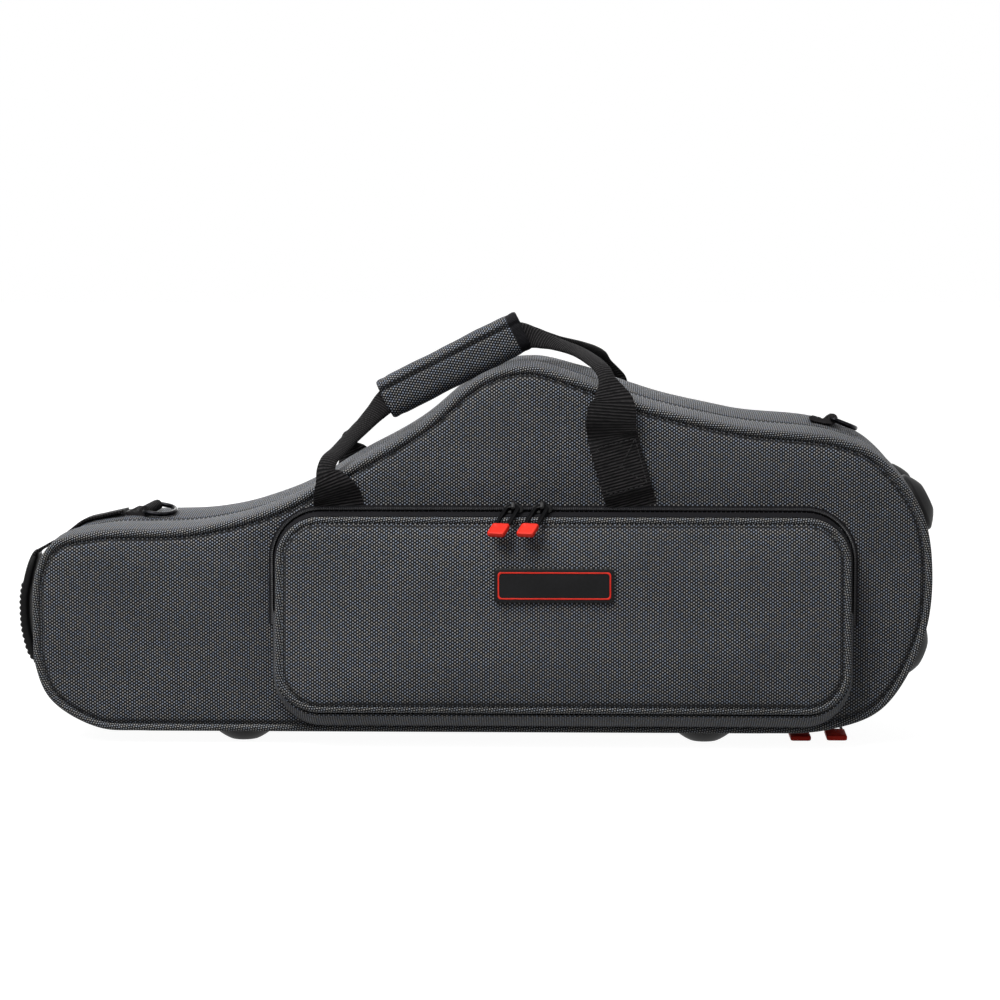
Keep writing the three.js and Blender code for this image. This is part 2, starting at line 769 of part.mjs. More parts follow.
function ringLoop() {
  const half = (ringWidth - ringWire) / 2;
  const reach = ringReach - ringWire;
  const roundShares = [[0, -1], [0.35, -1], [0.75, -0.75], [1, -0.35], [1, 0.35], [0.75, 0.75],
    [0.35, 1], [0, 1]];
  const points = roundShares.map(([u, v]) => new THREE.Vector3(u * reach, v * half, 0));
  return wireLoop(points, ringWire / 2, new THREE.Vector3(0, 0, 1));
}

function ringTab() {
  const steps = 8;
  const shape = new THREE.Shape();
  shape.absarc(0, 0, tabOuter, -Math.PI / 2, Math.PI / 2, false);
  shape.lineTo(-tabLength, -tabOuter + tabThickness);
  shape.lineTo(-tabLength, -tabOuter);
  const eye = new THREE.Path();
  eye.absarc(0, 0, eyeRadius, 0, 2 * Math.PI, true);
  shape.holes.push(eye);
  const geometry = pushed(shape, tabWidth, steps);
  geometry.translate(0, 0, -tabWidth / 2);
  geometry.rotateX(Math.PI / 2);
  return geometry;
}

// Places of the eyes along the length, and how far each ring is turned and rolled on the
// gusset, in degrees; its far side leans on the gusset
const ringPlaces = {
  left: { xShare: -0.392, turn: 18, roll: 9 },
  right: { xShare: 0.4018, turn: 4, roll: -2 },
};
const ringLift = tabOuter + clearance;
const ringDrop = ringLift - ringWire / 2 - ringGap;
const ringTilt = Math.asin(ringDrop / (ringReach - ringWire));
for (const [hand, { xShare, turn, roll }] of Object.entries(ringPlaces)) {
  const { point, normal } = topAt(along(xShare), tabDepth, baseCrown * tabCrownShare);
  const facing = new THREE.Matrix4().makeBasis(
    new THREE.Vector3(0, 1, 0).cross(normal), new THREE.Vector3(0, 1, 0), normal);
  facing.multiply(new THREE.Matrix4().makeRotationX(THREE.MathUtils.degToRad(roll)));
  facing.multiply(new THREE.Matrix4().makeRotationZ(-THREE.MathUtils.degToRad(turn)));
  facing.setPosition(point.clone().addScaledVector(normal, ringLift));
  const tilt = new THREE.Matrix4().makeRotationY(ringTilt);
  add(`d_ring_tab_${hand}`, seat(ringTab().applyMatrix4(facing)), webbing);
  add(`d_ring_${hand}`, ringLoop().applyMatrix4(facing.clone().multiply(tilt)), blackMetal);
}

// Zip slider: built flat, length along X, bridge towards +Z
const bridgeInner = pullWire + 2 * pullPlay;

function sliderBody() {
  const taperShare = 0.6;
  const half = [sliderLength / 2, sliderWidth / 2];
  const plate = new THREE.Shape([
    [1, taperShare], [taperShare, 1], [-taperShare, 1], [-1, taperShare],
    [-1, -taperShare], [-taperShare, -1], [taperShare, -1], [1, -taperShare],
  ].map(([u, v]) => new THREE.Vector2(u * half[0], v * half[1])));
  const top = sliderPlate + bridgeInner;
  const arch = new THREE.Shape([
    [-half[1], sliderPlate / 2], [-half[1], top], [-half[1] * taperShare, top + bridgeWall],
    [half[1] * taperShare, top + bridgeWall], [half[1], top], [half[1], sliderPlate / 2],
    [half[1] - bridgeWall, sliderPlate / 2], [half[1] - bridgeWall, top],
    [-half[1] + bridgeWall, top], [-half[1] + bridgeWall, sliderPlate / 2],
  ].map(([u, v]) => new THREE.Vector2(u, v)));
  const bridge = pushed(arch, bridgeWidth);
  bridge.translate(0, 0, -bridgeWidth / 2);
  bridge.rotateX(Math.PI / 2);
  bridge.rotateZ(Math.PI / 2);
  return geometryOf(solid(pushed(plate, sliderPlate)).add(solid(bridge)));
}

// Pull: built flat, its bar through the origin along X, hanging towards -Y
function pullFrame(pull, wire) {
  const half = (pull.width - pullWire) / 2;
  const cornerShare = 0.5;
  const end = pull.frame - pullWire;
  const points = [
    [half, 0], [half, -end + half * cornerShare], [half * cornerShare, -end],
    [-half * cornerShare, -end], [-half, -end + half * cornerShare], [-half, 0],
  ].map(([x, y]) => new THREE.Vector3(x, y, 0));
  return wireLoop(points, wire / 2, new THREE.Vector3(0, 0, 1));
}

function pullTip(pull) {
  const corner = pull.thickness;
  const tip = pushed(roundedShape(pull.width + pull.thickness, pull.tip, corner), pull.thickness);
  tip.translate(0, -pull.frame - pull.tip / 2 + 2 * pullWire, -pull.thickness / 2);
  return geometryOf(solid(tip).subtract(solid(pullFrame(pull, pullWire + 2 * clearance))));
}

// Adds a slider, its pull's frame and its tip. The basis gives the slider's place; the pull's
// bar lies at barHeight over it, swings out from the surface by swing and leans to -X by lean.
function addSlider(name, basis, barHeight, pull, swing, lean, slot) {
  const bar = new THREE.Matrix4().makeTranslation(0, 0, barHeight);
  bar.multiply(new THREE.Matrix4().makeRotationX(-swing));
  bar.multiply(new THREE.Matrix4().makeRotationZ(-lean));
  const hung = basis.clone().multiply(bar);
  add(`${name}_slider_${slot}`, sliderBody().applyMatrix4(basis), blackMetal);
  add(`${name}_pull_${slot}`, pullFrame(pull, pullWire).applyMatrix4(hung), blackMetal);
  add(`${name}_pull_tip_${slot}`, pullTip(pull).applyMatrix4(hung), redRubber);
}

const pocketSwing = (56 * Math.PI) / 180;
const pocketLean = (21 * Math.PI) / 180;
const pocketSliderShares = -0.06;
for (const [slot, way] of [["left", -1], ["right", 1]]) {
  const basis = new THREE.Matrix4().makeBasis(
    new THREE.Vector3(1, 0, 0), new THREE.Vector3(0, 0, 1), new THREE.Vector3(0, -1, 0));
  const x = pocketOffset + pocketSliderShares * pocketWidth + (way * pocketSliderGap) / 2;
  basis.setPosition(x, -pocketLift - clearance, pocketTop + clearance + sliderWidth / 2);
  addSlider(
    "pocket", basis, sliderPlate + bridgeInner / 2, pocketPull, pocketSwing, pocketLean, slot);
}

// The main sliders hang under the right end, with the ends of their pulls on the ground
const mainSliderShare = 0.38;
const mainBarHeight = sliderPlate + bridgeInner - clearance - pullWire / 2;
for (const [slot, way] of [["left", -1], ["right", 1]]) {
  const x = mainSliderShare * bodyLength + (way * mainSliderGap) / 2;
  const y = lidDepth - mainSliderSetback - sliderWidth / 2;
  const z = underAt(x - sliderLength / 2, y).point.z - clearance;
  const basis = new THREE.Matrix4().makeBasis(
    new THREE.Vector3(-1, 0, 0), new THREE.Vector3(0, 1, 0), new THREE.Vector3(0, 0, -1));
  basis.setPosition(x, y, z);
  const drop = z - mainBarHeight - mainPull.thickness / 2 - clearance;
  const swing = Math.asin(drop / (mainPull.frame + mainPull.tip));
  addSlider("main", basis, mainBarHeight, mainPull, swing, 0, slot);
}

// The origin is under the middle of everything
const extent = new THREE.Box3().setFromObject(model);
const centre = extent.getCenter(new THREE.Vector3());
model.position.set(-centre.x, -centre.y, -extent.min.z);

export default model;
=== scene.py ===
# A contoured zip case for an alto saxophone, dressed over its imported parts. Lengths are worked
# out in millimetres from the case's own lines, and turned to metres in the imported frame.
import math
import bmesh
import bpy
import numpy as np
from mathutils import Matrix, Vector


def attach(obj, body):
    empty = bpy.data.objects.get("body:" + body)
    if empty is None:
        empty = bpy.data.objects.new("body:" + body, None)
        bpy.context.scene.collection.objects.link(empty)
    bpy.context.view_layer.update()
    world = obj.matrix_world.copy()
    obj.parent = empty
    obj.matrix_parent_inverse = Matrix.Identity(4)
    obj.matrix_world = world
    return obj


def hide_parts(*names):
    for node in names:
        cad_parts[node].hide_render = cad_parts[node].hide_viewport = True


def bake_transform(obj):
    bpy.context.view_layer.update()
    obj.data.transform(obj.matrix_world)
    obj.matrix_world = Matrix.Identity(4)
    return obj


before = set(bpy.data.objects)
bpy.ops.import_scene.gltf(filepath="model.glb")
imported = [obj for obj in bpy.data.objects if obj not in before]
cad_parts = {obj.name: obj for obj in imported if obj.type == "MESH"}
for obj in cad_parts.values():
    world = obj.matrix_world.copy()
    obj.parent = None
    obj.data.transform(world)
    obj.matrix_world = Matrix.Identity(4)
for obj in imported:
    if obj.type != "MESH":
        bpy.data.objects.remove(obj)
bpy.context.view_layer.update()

# ---------------------------------------------------------------------------------------------
# The case's form. Two fabric shells, 690 mm long and 282 mm high over the feet, share one
# outline and meet at the zip; the rear one is a little fuller along its top and wide end.
# ---------------------------------------------------------------------------------------------
body_length, body_height, foot_height = 690.0, 282.0, 10.0
lid_depth, base_depth = 83.0, 107.0
whole_depth = lid_depth + base_depth
rear_fullness = 7.0
body_place = np.array([10.750, -78.841, 0.0])

# Clockwise from the left end: share of the length, share of the height, share of the fullness
outline_rows = np.array([
    [-0.500, 0.280, 0], [-0.497, 0.430, 0], [-0.478, 0.515, 0], [-0.430, 0.548, 0],
    [-0.320, 0.560, 0], [-0.225, 0.620, 0], [-0.148, 0.722, 0], [-0.067, 0.837, 0],
    [0.000, 0.967, 0], [0.052, 1.000, 0], [0.110, 0.962, 0.6], [0.172, 0.902, 1],
    [0.286, 0.837, 0.8], [0.396, 0.804, 0.8], [0.440, 0.757, 0.9], [0.487, 0.612, 0.7],
    [0.500, 0.440, 0.4], [0.490, 0.252, 0.2], [0.446, 0.069, 0], [0.385, 0.010, 0],
    [0.310, 0.000, 0], [0.220, 0.000, 0], [-0.370, 0.000, 0], [-0.430, 0.010, 0],
    [-0.481, 0.085, 0], [-0.498, 0.180, 0]])
row_steps = 14
hinge_rows = (21, 22)


def curve_through(rows, steps, closed):
    """A smooth curve through rows of numbers: between two rows a cubic, whose slopes weigh the
    neighbours by the square root of their distance. Gives the points and their slopes."""
    if closed:
        p0, p1, p2, p3 = (np.roll(rows, k, 0) for k in (1, 0, -1, -2))
    else:
        ends = np.vstack([2 * rows[0] - rows[1], rows, 2 * rows[-1] - rows[-2]])
        p0, p1, p2, p3 = ends[:-3], ends[1:-2], ends[2:-1], ends[3:]
    d0, d1, d2 = (np.maximum(np.linalg.norm((b - a)[:, :3], axis=1), 1e-6)[:, None] ** 0.5
                  for a, b in ((p0, p1), (p1, p2), (p2, p3)))
    s1 = ((p1 - p0) / d0 - (p2 - p0) / (d0 + d1) + (p2 - p1) / d1) * d1
    s2 = ((p2 - p1) / d1 - (p3 - p1) / (d1 + d2) + (p3 - p2) / d2) * d1
    t = (np.arange(steps) / steps)[None, :, None]
    a, b, c, d = (x[:, None] for x in (
        p1, s1, 3 * (p2 - p1) - 2 * s1 - s2, 2 * (p1 - p2) + s1 + s2))
    points = (a + b * t + c * t ** 2 + d * t ** 3).reshape(-1, rows.shape[1])
    slopes = (b + 2 * c * t + 3 * d * t ** 2).reshape(-1, rows.shape[1])
    if not closed:
        points, slopes = np.vstack([points, rows[-1]]), np.vstack([slopes, s2[-1]])
    return points, slopes


def unit(vectors):
    """Vectors divided by their own lengths."""
    return vectors / np.linalg.norm(vectors, axis=-1, keepdims=True)


def walked_along(path):
    """How far a path has been walked at each of its points: the sum of the steps up to there."""
    return np.concatenate([[0], np.cumsum(np.linalg.norm(np.diff(path, axis=0), axis=1))])


line, slope = curve_through(
    outline_rows[:, :2] * (body_length, body_height) + (0, foot_height), row_steps, True)
line[:, 1] = np.maximum(line[:, 1], foot_height)
normal = unit(np.stack([-slope[:, 1], slope[:, 0]], 1))
part_way = np.tile(np.arange(row_steps) / row_steps, len(outline_rows))
full_from = np.repeat(outline_rows[:, 2], row_steps)
full_to = np.repeat(np.roll(outline_rows[:, 2], -1), row_steps)
full = full_from * (1 - part_way) + full_to * part_way
swell = np.minimum(1, 1 + normal[:, 1])
run = walked_along(np.vstack([line, line[:1]]))


def skin(y, inset, crown=0.0):
    """A point of the shells: outline + normal × (fullness × depth − inset + crown × swell).
    y, inset and crown are columns of numbers, one for each ring."""
    y, inset, crown = (np.asarray(v, float).reshape(-1, 1) for v in (y, inset, crown))
    out = full * rear_fullness * y / whole_depth - inset + crown * swell
    x = line[:, 0] + normal[:, 0] * out
    z = line[:, 1] + normal[:, 1] * out
    return np.stack([x, np.broadcast_to(y, x.shape), z], -1)


def grid(points, cloth=None, edge=None, wrap=(False, False), finish=0):
    """One surface as rows and columns of points in millimetres. cloth gives the lie of the weave
    and edge the run along a seam and the distance from it; both in millimetres, with one more row
    or column where the surface wraps round to its start."""
    rows, columns = points.shape[0] + wrap[0], points.shape[1] + wrap[1]
    if cloth is None:
        cloth = np.zeros((rows, columns, 2))
    if edge is None:
        edge = np.full((rows, columns, 2), 500.0)
    return dict(points=points, cloth=cloth, edge=edge, wrap=wrap, finish=finish)


def pairs(across, down):
    """A map with a row for each number of down, whose points pair it with each of across."""
    return np.stack(np.meshgrid(across, down), -1)


def laid(points, wrap=(False, False)):
    """Cloth laid on a grid without stretch: the mean distance walked across its columns, and the
    mean distance down its rows, each with the closing step where the grid wraps."""
    walked = []
    for way in (1, 0):
        steps = np.linalg.norm(np.roll(points, -1, way) - points, axis=2).mean(1 - way)
        walked.append(np.cumsum([0, *(steps if wrap[way] else steps[:-1])]))
    return pairs(*walked)


def piece(name, grids, finishes, body, nodes, sharp=40.0):
    """Joins grids of points into one closed mesh with outward faces, and hangs it on its body in
    place of its nodes. Two maps hold the lie of the cloth and the seam distances, in metres."""
    corners, faces, cloths, edges, finish = [], [], [], [], []
    first = 0
    for g in grids:
        points = g["points"]
        rows, columns = points.shape[:2]
        r = np.arange(rows if g["wrap"][0] else rows - 1)[:, None]
        c = np.arange(columns if g["wrap"][1] else columns - 1)[None, :]
        ways = ((0, 0), (0, 1), (1, 1), (1, 0))
        faces.append(np.stack([(r + i) % rows * columns + (c + j) % columns + first
                               for i, j in ways], -1).reshape(-1, 4))
        at = [((r + i) + 0 * c, (c + j) + 0 * r) for i, j in ways]
        cloths.append(np.stack([g["cloth"][a] for a in at], 2).reshape(-1, 2))
        edges.append(np.stack([g["edge"][a] for a in at], 2).reshape(-1, 2))
        finish.append(np.full(len(faces[-1]), g["finish"]))
        corners.append(points.reshape(-1, 3))
        first += rows * columns
    corners = (np.vstack(corners) + body_place) / 1000
    faces, finish = np.vstack(faces), np.concatenate(finish)
    mesh = bpy.data.meshes.new(name)
    mesh.vertices.add(len(corners))
    mesh.vertices.foreach_set("co", corners.ravel())
    mesh.loops.add(faces.size)
    mesh.loops.foreach_set("vertex_index", faces.ravel().astype(np.int32))
    mesh.polygons.add(len(faces))
    mesh.polygons.foreach_set("loop_start", np.arange(0, faces.size, 4, dtype=np.int32))
    mesh.polygons.foreach_set("material_index", finish.astype(np.int32))
    for label, values in (("cloth", cloths), ("edge", edges)):
        layer = mesh.uv_layers.new(name=label)
        layer.uv.foreach_set("vector", (np.vstack(values) / 1000).ravel())
    mesh.update(calc_edges=True)
    work = bmesh.new()
    work.from_mesh(mesh)
    merge_within = 2e-6
    bmesh.ops.remove_doubles(work, verts=work.verts, dist=merge_within)
    bmesh.ops.dissolve_degenerate(work, edges=work.edges, dist=merge_within / 20)
    open_edges = [e for e in work.edges if e.is_boundary]
    if open_edges:
        bmesh.ops.holes_fill(work, edges=open_edges, sides=0)
    bmesh.ops.recalc_face_normals(work, faces=work.faces)
    work.to_mesh(mesh)
    work.free()
    mesh.shade_smooth()
    mesh.set_sharp_from_angle(angle=math.radians(sharp))
    for finish_material in finishes:
        mesh.materials.append(finish_material)
    obj = bpy.data.objects.new(name, mesh)
    bpy.context.collection.objects.link(obj)
    if body:
        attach(obj, body)
    if nodes:
        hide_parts(*nodes)
    return obj


# ---------------------------------------------------------------------------------------------
# Shell covers. Heavy coated polyester cloth, woven with a lattice of pale raised dots on a dark
# ground, padded behind, and sewn to the piping and, with a second row of stitches, to the zip.
# ---------------------------------------------------------------------------------------------
seam_inset, zip_band = 0.8, 8.0
# A shell's y runs from its own face to the zip, and away points off that face
sides = {
    "lid": dict(depth=lid_depth, crown=3.0, away=-1, place="front", y=lambda d: d),
    "base": dict(depth=base_depth, crown=4.5, away=1, place="rear",
                 y=lambda d: whole_depth - d)}
panel_seam, panel_tuck, gusset_tuck = 5.2, 2.6, 2.2
panel_crown, crown_reach, pocket_reach = 3.6, 22.0, 20.0
pocket_width, pocket_height, pocket_corner, pocket_offset = 441.0, 166.0, 36.5, 63.0
pocket_bottom = foot_height + 5.0
pocket_top = pocket_bottom + pocket_height
panel_middle = np.array([20.0, 120.0])
dot_across, dot_down = 3.6, 2.45
cloth_ground, cool_dot, warm_dot = "#0a0b0d", "#99a3b5", "#a9a6a3"


def linear(code):
    """An sRGB hex colour as the linear numbers that a shader takes."""
    value = np.array([int(code[i:i + 2], 16) for i in (1, 3, 5)]) / 255
    value = np.where(value <= 0.04045, value / 12.92, ((value + 0.055) / 1.055) ** 2.4)
    return (*value.tolist(), 1.0)


def add_node(tree, kind, *inputs, out=0, **settings):
    """Adds one node and gives its output called out. Inputs fill its sockets in order. A setting
    is an option, a socket by its name or, as i6, by its number. Any may be another's output."""
    node = tree.nodes.new("ShaderNode" + kind)
    given = dict(enumerate(inputs))
    for key, value in settings.items():
        socket = int(key[1:]) if key[1:].isdigit() else key.replace("_", " ")
        if isinstance(socket, int) or socket in node.inputs:
            given[socket] = value
        else:
            setattr(node, key, value)
    for socket, value in given.items():
        if isinstance(value, bpy.types.NodeSocket):
            tree.links.new(value, node.inputs[socket])
        else:
            value = linear(value) if isinstance(value, str) else value
            node.inputs[socket].default_value = value
    return node.outputs[out]


smooth_step = dict(interpolation_type="SMOOTHSTEP")
colour_mix = dict(data_type="RGBA", out=2)


def finish_of(name, **sockets):
    """A new material with one principled shader whose plain sockets are set directly."""
    material = bpy.data.materials.new(name)
    material.use_nodes = True
    tree = material.node_tree
    shader = tree.nodes["Principled BSDF"]
    for key, value in sockets.items():
        shader.inputs[key.replace("_", " ")].default_value = value
    return material, tree, shader


def dress(shader, colour, height=None, strength=1.0):
    """Links a colour to a shader, and a height in metres as its bump."""
    tree = shader.id_data
    tree.links.new(colour, shader.inputs["Base Color"])
    if height is not None:
        bump = add_node(tree, "Bump", Strength=strength, Distance=1.0, Height=height)
        tree.links.new(bump, shader.inputs["Normal"])


def dotted_cloth(name, ground=cloth_ground, cool=cool_dot, warm=warm_dot, gap=1.0,
                 stitch_row=None, roughness=0.7):
    """Woven polyester with a staggered lattice of raised dots in columns: cosine across × cosine
    down + 0.6 × (cosine across)² is highest at a dot, and its yarn is a little cooler or warmer
    from one dot to the next. Stitches are short dark dashes at a set distance from a seam, and the
    groove they sit in carries painted shade: its colour is darkened towards the ground."""
    material, tree, shader = finish_of(name, Roughness=roughness, Specular_IOR_Level=0.16,
                                       Sheen_Weight=0.05, Sheen_Roughness=0.5)
    cloth = add_node(tree, "UVMap", uv_map="cloth")
    waves = []
    for way, pitch in enumerate((dot_across, dot_down)):
        place = add_node(tree, "SeparateXYZ", cloth, out=way)
        turn = add_node(tree, "Math", place, 2000 * math.pi / (pitch * gap), operation="MULTIPLY")
        waves.append(add_node(tree, "Math", turn, operation="COSINE"))
    across, down = waves
    columns = add_node(tree, "Math", across, across, operation="MULTIPLY")
    columns = add_node(tree, "Math", columns, 0.6, operation="MULTIPLY")
    lattice = add_node(tree, "Math", across, down, columns, operation="MULTIPLY_ADD")
    dots = add_node(tree, "MapRange", lattice, 0.3, 1.25, **smooth_step)
    # Yarn colour is a little uneven from thread to thread and over a hand's width
    cloud = add_node(tree, "TexNoise", cloth, Scale=9.0, Detail=3.0)
    thread = add_node(tree, "TexNoise", cloth, Scale=700.0, Detail=1.0)
    thread = add_node(tree, "Math", thread, 0.5, operation="MULTIPLY")
    uneven = add_node(tree, "Math", cloud, 0.5, thread, operation="MULTIPLY_ADD")
    uneven = add_node(tree, "MapRange", uneven, -0.1, 0.62, **smooth_step)
    share = add_node(tree, "Math", dots, uneven, operation="MULTIPLY")
    hue = add_node(tree, "TexNoise", cloth, Scale=260.0, Detail=1.0)
    hue = add_node(tree, "MapRange", hue, 0.4, 0.6, **smooth_step)
    yarn = add_node(tree, "Mix", hue, i6=cool, i7=warm, **colour_mix)
    colour = add_node(tree, "Mix", share, i6=ground, i7=yarn, **colour_mix)
    height = add_node(tree, "Math", dots, 0.00018, operation="MULTIPLY")
    if stitch_row:
        seam = add_node(tree, "UVMap", uv_map="edge")
        along, off = (add_node(tree, "SeparateXYZ", seam, out=way) for way in (0, 1))
        stitch_pitch, stitch_share = 0.0034, 0.8
        beat = add_node(tree, "Math", along, stitch_pitch, operation="DIVIDE")
        beat = add_node(tree, "Math", beat, operation="FRACT")
        dash = add_node(tree, "Math", beat, stitch_share, operation="LESS_THAN")
        near = add_node(tree, "Math", off, stitch_row / 1000, operation="SUBTRACT")
        near = add_node(tree, "Math", near, operation="ABSOLUTE")
        on_line = add_node(tree, "MapRange", near, 0.0003, 0.00065, 1.0, 0.0, **smooth_step)
        groove = add_node(tree, "MapRange", near, 0.0004, 0.0022, 1.0, 0.0, **smooth_step)
        # Painted shade: within about 2 mm of the stitch line the cloth's colour is darkened
        # towards the ground
        painted_groove_shade = add_node(tree, "Math", groove, 0.45, operation="MULTIPLY")
        colour = add_node(tree, "Mix", painted_groove_shade, i6=colour, i7=ground, **colour_mix)
        stitches = add_node(tree, "Math", on_line, dash, operation="MULTIPLY")
        colour = add_node(tree, "Mix", stitches, i6=colour, i7="#0c0c0d", **colour_mix)
        height = add_node(tree, "Math", groove, -0.0006, height, operation="MULTIPLY_ADD")
    dress(shader, colour, height, 0.9)
    return material


panel_cloth, gusset_cloth = (dotted_cloth(f"woven_polyester_{use}", stitch_row=2.6)
                             for use in ("panel", "gusset"))
inner_cloth, tree, shader = finish_of("bonded_foam_backing", Roughness=0.95)
fleck = add_node(tree, "TexNoise", add_node(tree, "TexCoord", out="Object"), Scale=900.0)
dress(shader, add_node(tree, "Mix", fleck, i6="#1b1b1d", i7="#2b2b2e", **colour_mix))


def ripple(x, z):
    """Padding is never quite even: two slow waves, a third of a millimetre each."""
    return 0.34 * np.sin(x / 47 + 1.3) * np.sin(z / 36 + 0.4) + 0.2 * np.sin(x / 27 - z / 33)


def swelling(side, x, z, from_seam):
    """How far the padding stands out: crown × (1 − exp(−distance from the seam / reach)), and on
    the lid also × (1 − exp(−(distance from the pocket's outline / reach)²))."""
    held = panel_crown * (1 - np.exp(-from_seam / crown_reach))
    if side["away"] > 0:
        return held
    past = np.abs(np.stack([x - pocket_offset, z - (pocket_bottom + pocket_top) / 2], -1))
    past = past - np.array([pocket_width, pocket_height]) / 2 + pocket_corner
    outside = np.linalg.norm(past.clip(0), axis=-1) - pocket_corner
    return held * (1 - np.exp(-(outside.clip(0) / pocket_reach) ** 2))


def to_middle(rows, middle_y, shares):
    """Adds rings that shrink from the last one to the middle of the panel."""
    middle = np.array([panel_middle[0], middle_y, panel_middle[1]])
    return np.concatenate([rows, middle + (rows[-1] - middle) * shares[:, None, None]])


def front_rows(side):
    """The panel inside the piping: rings at set distances from the seam, then rings that shrink
    to the middle. It rises out of the seam as an exponential and swells by the padding."""
    s = np.array([0, 0.5, 1.1, 1.9, 3, 4.5, 6.5, 9, 12.0])
    shares = np.linspace(1, 0, 37)[1:]
    face = side["y"](0)
    points = to_middle(skin(np.full(len(s), face), panel_seam + s), face, shares)
    # Past the last set row a ring's distance is near enough: it only steers the swelling
    distance = np.concatenate([s, s[-1] + 60 * (1 - shares)])[:, None]
    rise = panel_tuck * np.exp(-distance / 1.5)
    dome = swelling(side, points[..., 0], points[..., 2], distance)
    wave = ripple(points[..., 0], points[..., 2]) * (1 - np.exp(-distance / 22))
    points[..., 1] = face + side["away"] * (dome + wave - rise)
    return points, distance


for name, side in sides.items():
    front, distance = front_rows(side)
    closing = np.concatenate([front, front[:, :1]], 1)
    panel = grid(front, closing[..., [0, 2]], pairs(run, distance), (False, True), 0)
    # The gusset's rows lie closer together towards both of its seams
    zip_edge = side["depth"] - zip_band
    near = np.array([3.0, 3.4, 4.0, 4.9, 6.2, 8.2, 11])
    last = zip_edge - np.array([9, 6.5, 4.6, 3.2, 2.1, 1.2, 0.5, 0.0])
    d = np.concatenate([near, np.linspace(16, zip_edge - 14, 10), last])
    way = (d - d[0]) / (zip_edge - d[0])
    inset = seam_inset + gusset_tuck * np.exp(-(d - d[0]) / 1.1)
    inset += 1.3 * np.exp(-(zip_edge - d) / 0.7)
    # The zip's topstitch pulls the cloth in a little, 3 mm from its edge
    inset += 0.5 * np.exp(-((zip_edge - d - 3.0) / 1.4) ** 2)
    gusset_points = skin(side["y"](d), inset, side["crown"] * np.sin(math.pi * way) ** 0.9)
    wave = 0.5 * np.sin(run[:-1] / 41) * np.sin(run[:-1] / 17 + 2) * np.sin(math.pi * way)[:, None]
    gusset_points[..., 0] += normal[:, 0] * wave
    gusset_points[..., 2] += normal[:, 1] * wave * (swell > 0.3)
    from_seam = np.minimum(d - d[0], zip_edge - d)
    gusset = grid(gusset_points, pairs(run, d), pairs(run, from_seam), (False, True), 1)
    join = grid(np.stack([front[0], gusset_points[0]]), wrap=(False, True), finish=2)
    back_inset = np.array([inset[-1], 3.0, 3.0, 3.0, 6.0, 12.0])
    back_depth = np.array([zip_edge, zip_edge - 0.2, zip_edge / 2, 7, 4.6, 3.4])
    back = skin(side["y"](back_depth), back_inset)
    back[0] = gusset_points[-1]
    back = to_middle(back, side["y"](3.4), np.linspace(1, 0, 5)[1:])
    inside = grid(back, wrap=(False, True), finish=2)
    cover = piece(f"{name}_cover_cloth", [panel, gusset, join, inside],
                  [panel_cloth, gusset_cloth, inner_cloth], name, [f"{name}_cover"])

# ---------------------------------------------------------------------------------------------
# Piping. A plastic cord in a bias strip of the same cloth, caught in the seam between panel and
# gusset all the way round each shell.
# ---------------------------------------------------------------------------------------------
piping_radius, piping_proud = 2.8, 1.2
piping_cloth = dotted_cloth("woven_polyester_piping", "#0c0d0f", "#9aa1ac", "#a8a5a0", gap=0.92,
                            roughness=0.65)


def circle(turns):
    """Even angles round a circle, from 0."""
    return np.linspace(0, 2 * math.pi, turns, endpoint=False)


def hoop(centre_line, radius, turns, outward, upward):
    """A tube round a closed line: centre + radius × (outward × cosine + upward × sine)."""
    angle = circle(turns)[:, None, None]
    return centre_line + radius * (outward * np.cos(angle) + upward * np.sin(angle))


def on_bias(cloth):
    """A bias strip's weave at 45 degrees to the cord: (along + round, round − along) / √2."""
    along, round_it = cloth[..., 0], cloth[..., 1]
    return np.stack([along + round_it, round_it - along], -1) * 0.7071


for name, side in sides.items():
    centre = skin(side["y"](piping_radius - piping_proud), piping_radius + 0.15)[0]
    outward = np.stack([normal[:, 0], 0 * full, normal[:, 1]], 1)
    turns = 16
    points = hoop(centre, piping_radius, turns, outward, np.array([0.0, 1.0, 0.0]))
    round_it = np.arange(turns + 1) * 2 * math.pi * piping_radius / turns
    cord = grid(points, on_bias(pairs(run, round_it)), wrap=(True, True))
    piece(f"{name}_piping_cord", [cord], [piping_cloth], name, [f"{name}_piping"])

# ---------------------------------------------------------------------------------------------
# Main zip. Two black woven tapes, each with half of a nylon coil, sewn under the covers' edges.
# The tape is matt, and the coil is a glossier ribbed bead along the parting plane.
# ---------------------------------------------------------------------------------------------
coil_pitch = 1.5


def ribbed_finish(name, colour, light, pitch, depth_mm, roughness, along=0, gloss=0.12):
    """Cloth or nylon with ribs across its run: a cosine along the run, pitch apart. The rib
    crests take the lighter colour as a painted highlight, broken up by a fine grain.
    """
    material, tree, shader = finish_of(name, Roughness=roughness, Specular_IOR_Level=gloss)
    cloth = add_node(tree, "UVMap", uv_map="cloth")
    place = add_node(tree, "SeparateXYZ", cloth, out=along)
    turn = add_node(tree, "Math", place, 2000 * math.pi / pitch, operation="MULTIPLY")
    wave = add_node(tree, "Math", turn, operation="COSINE")
    grain = add_node(tree, "TexNoise", cloth, Scale=420.0, Detail=2.0)
    # Painted highlight: each rib's crest is mixed towards the lighter colour
    painted_crest_highlight = add_node(tree, "MapRange", wave, -0.7, 1.0, **smooth_step)
    uneven = add_node(tree, "MapRange", grain, 0.1, 0.75, **smooth_step)
    share = add_node(tree, "Math", painted_crest_highlight, uneven, operation="MULTIPLY")
    height = add_node(tree, "Math", grain, 0.00006, operation="MULTIPLY")
    height = add_node(tree, "Math", wave, depth_mm / 2000, height, operation="MULTIPLY_ADD")
    dress(shader, add_node(tree, "Mix", share, i6=colour, i7=light, **colour_mix), height)
    return material


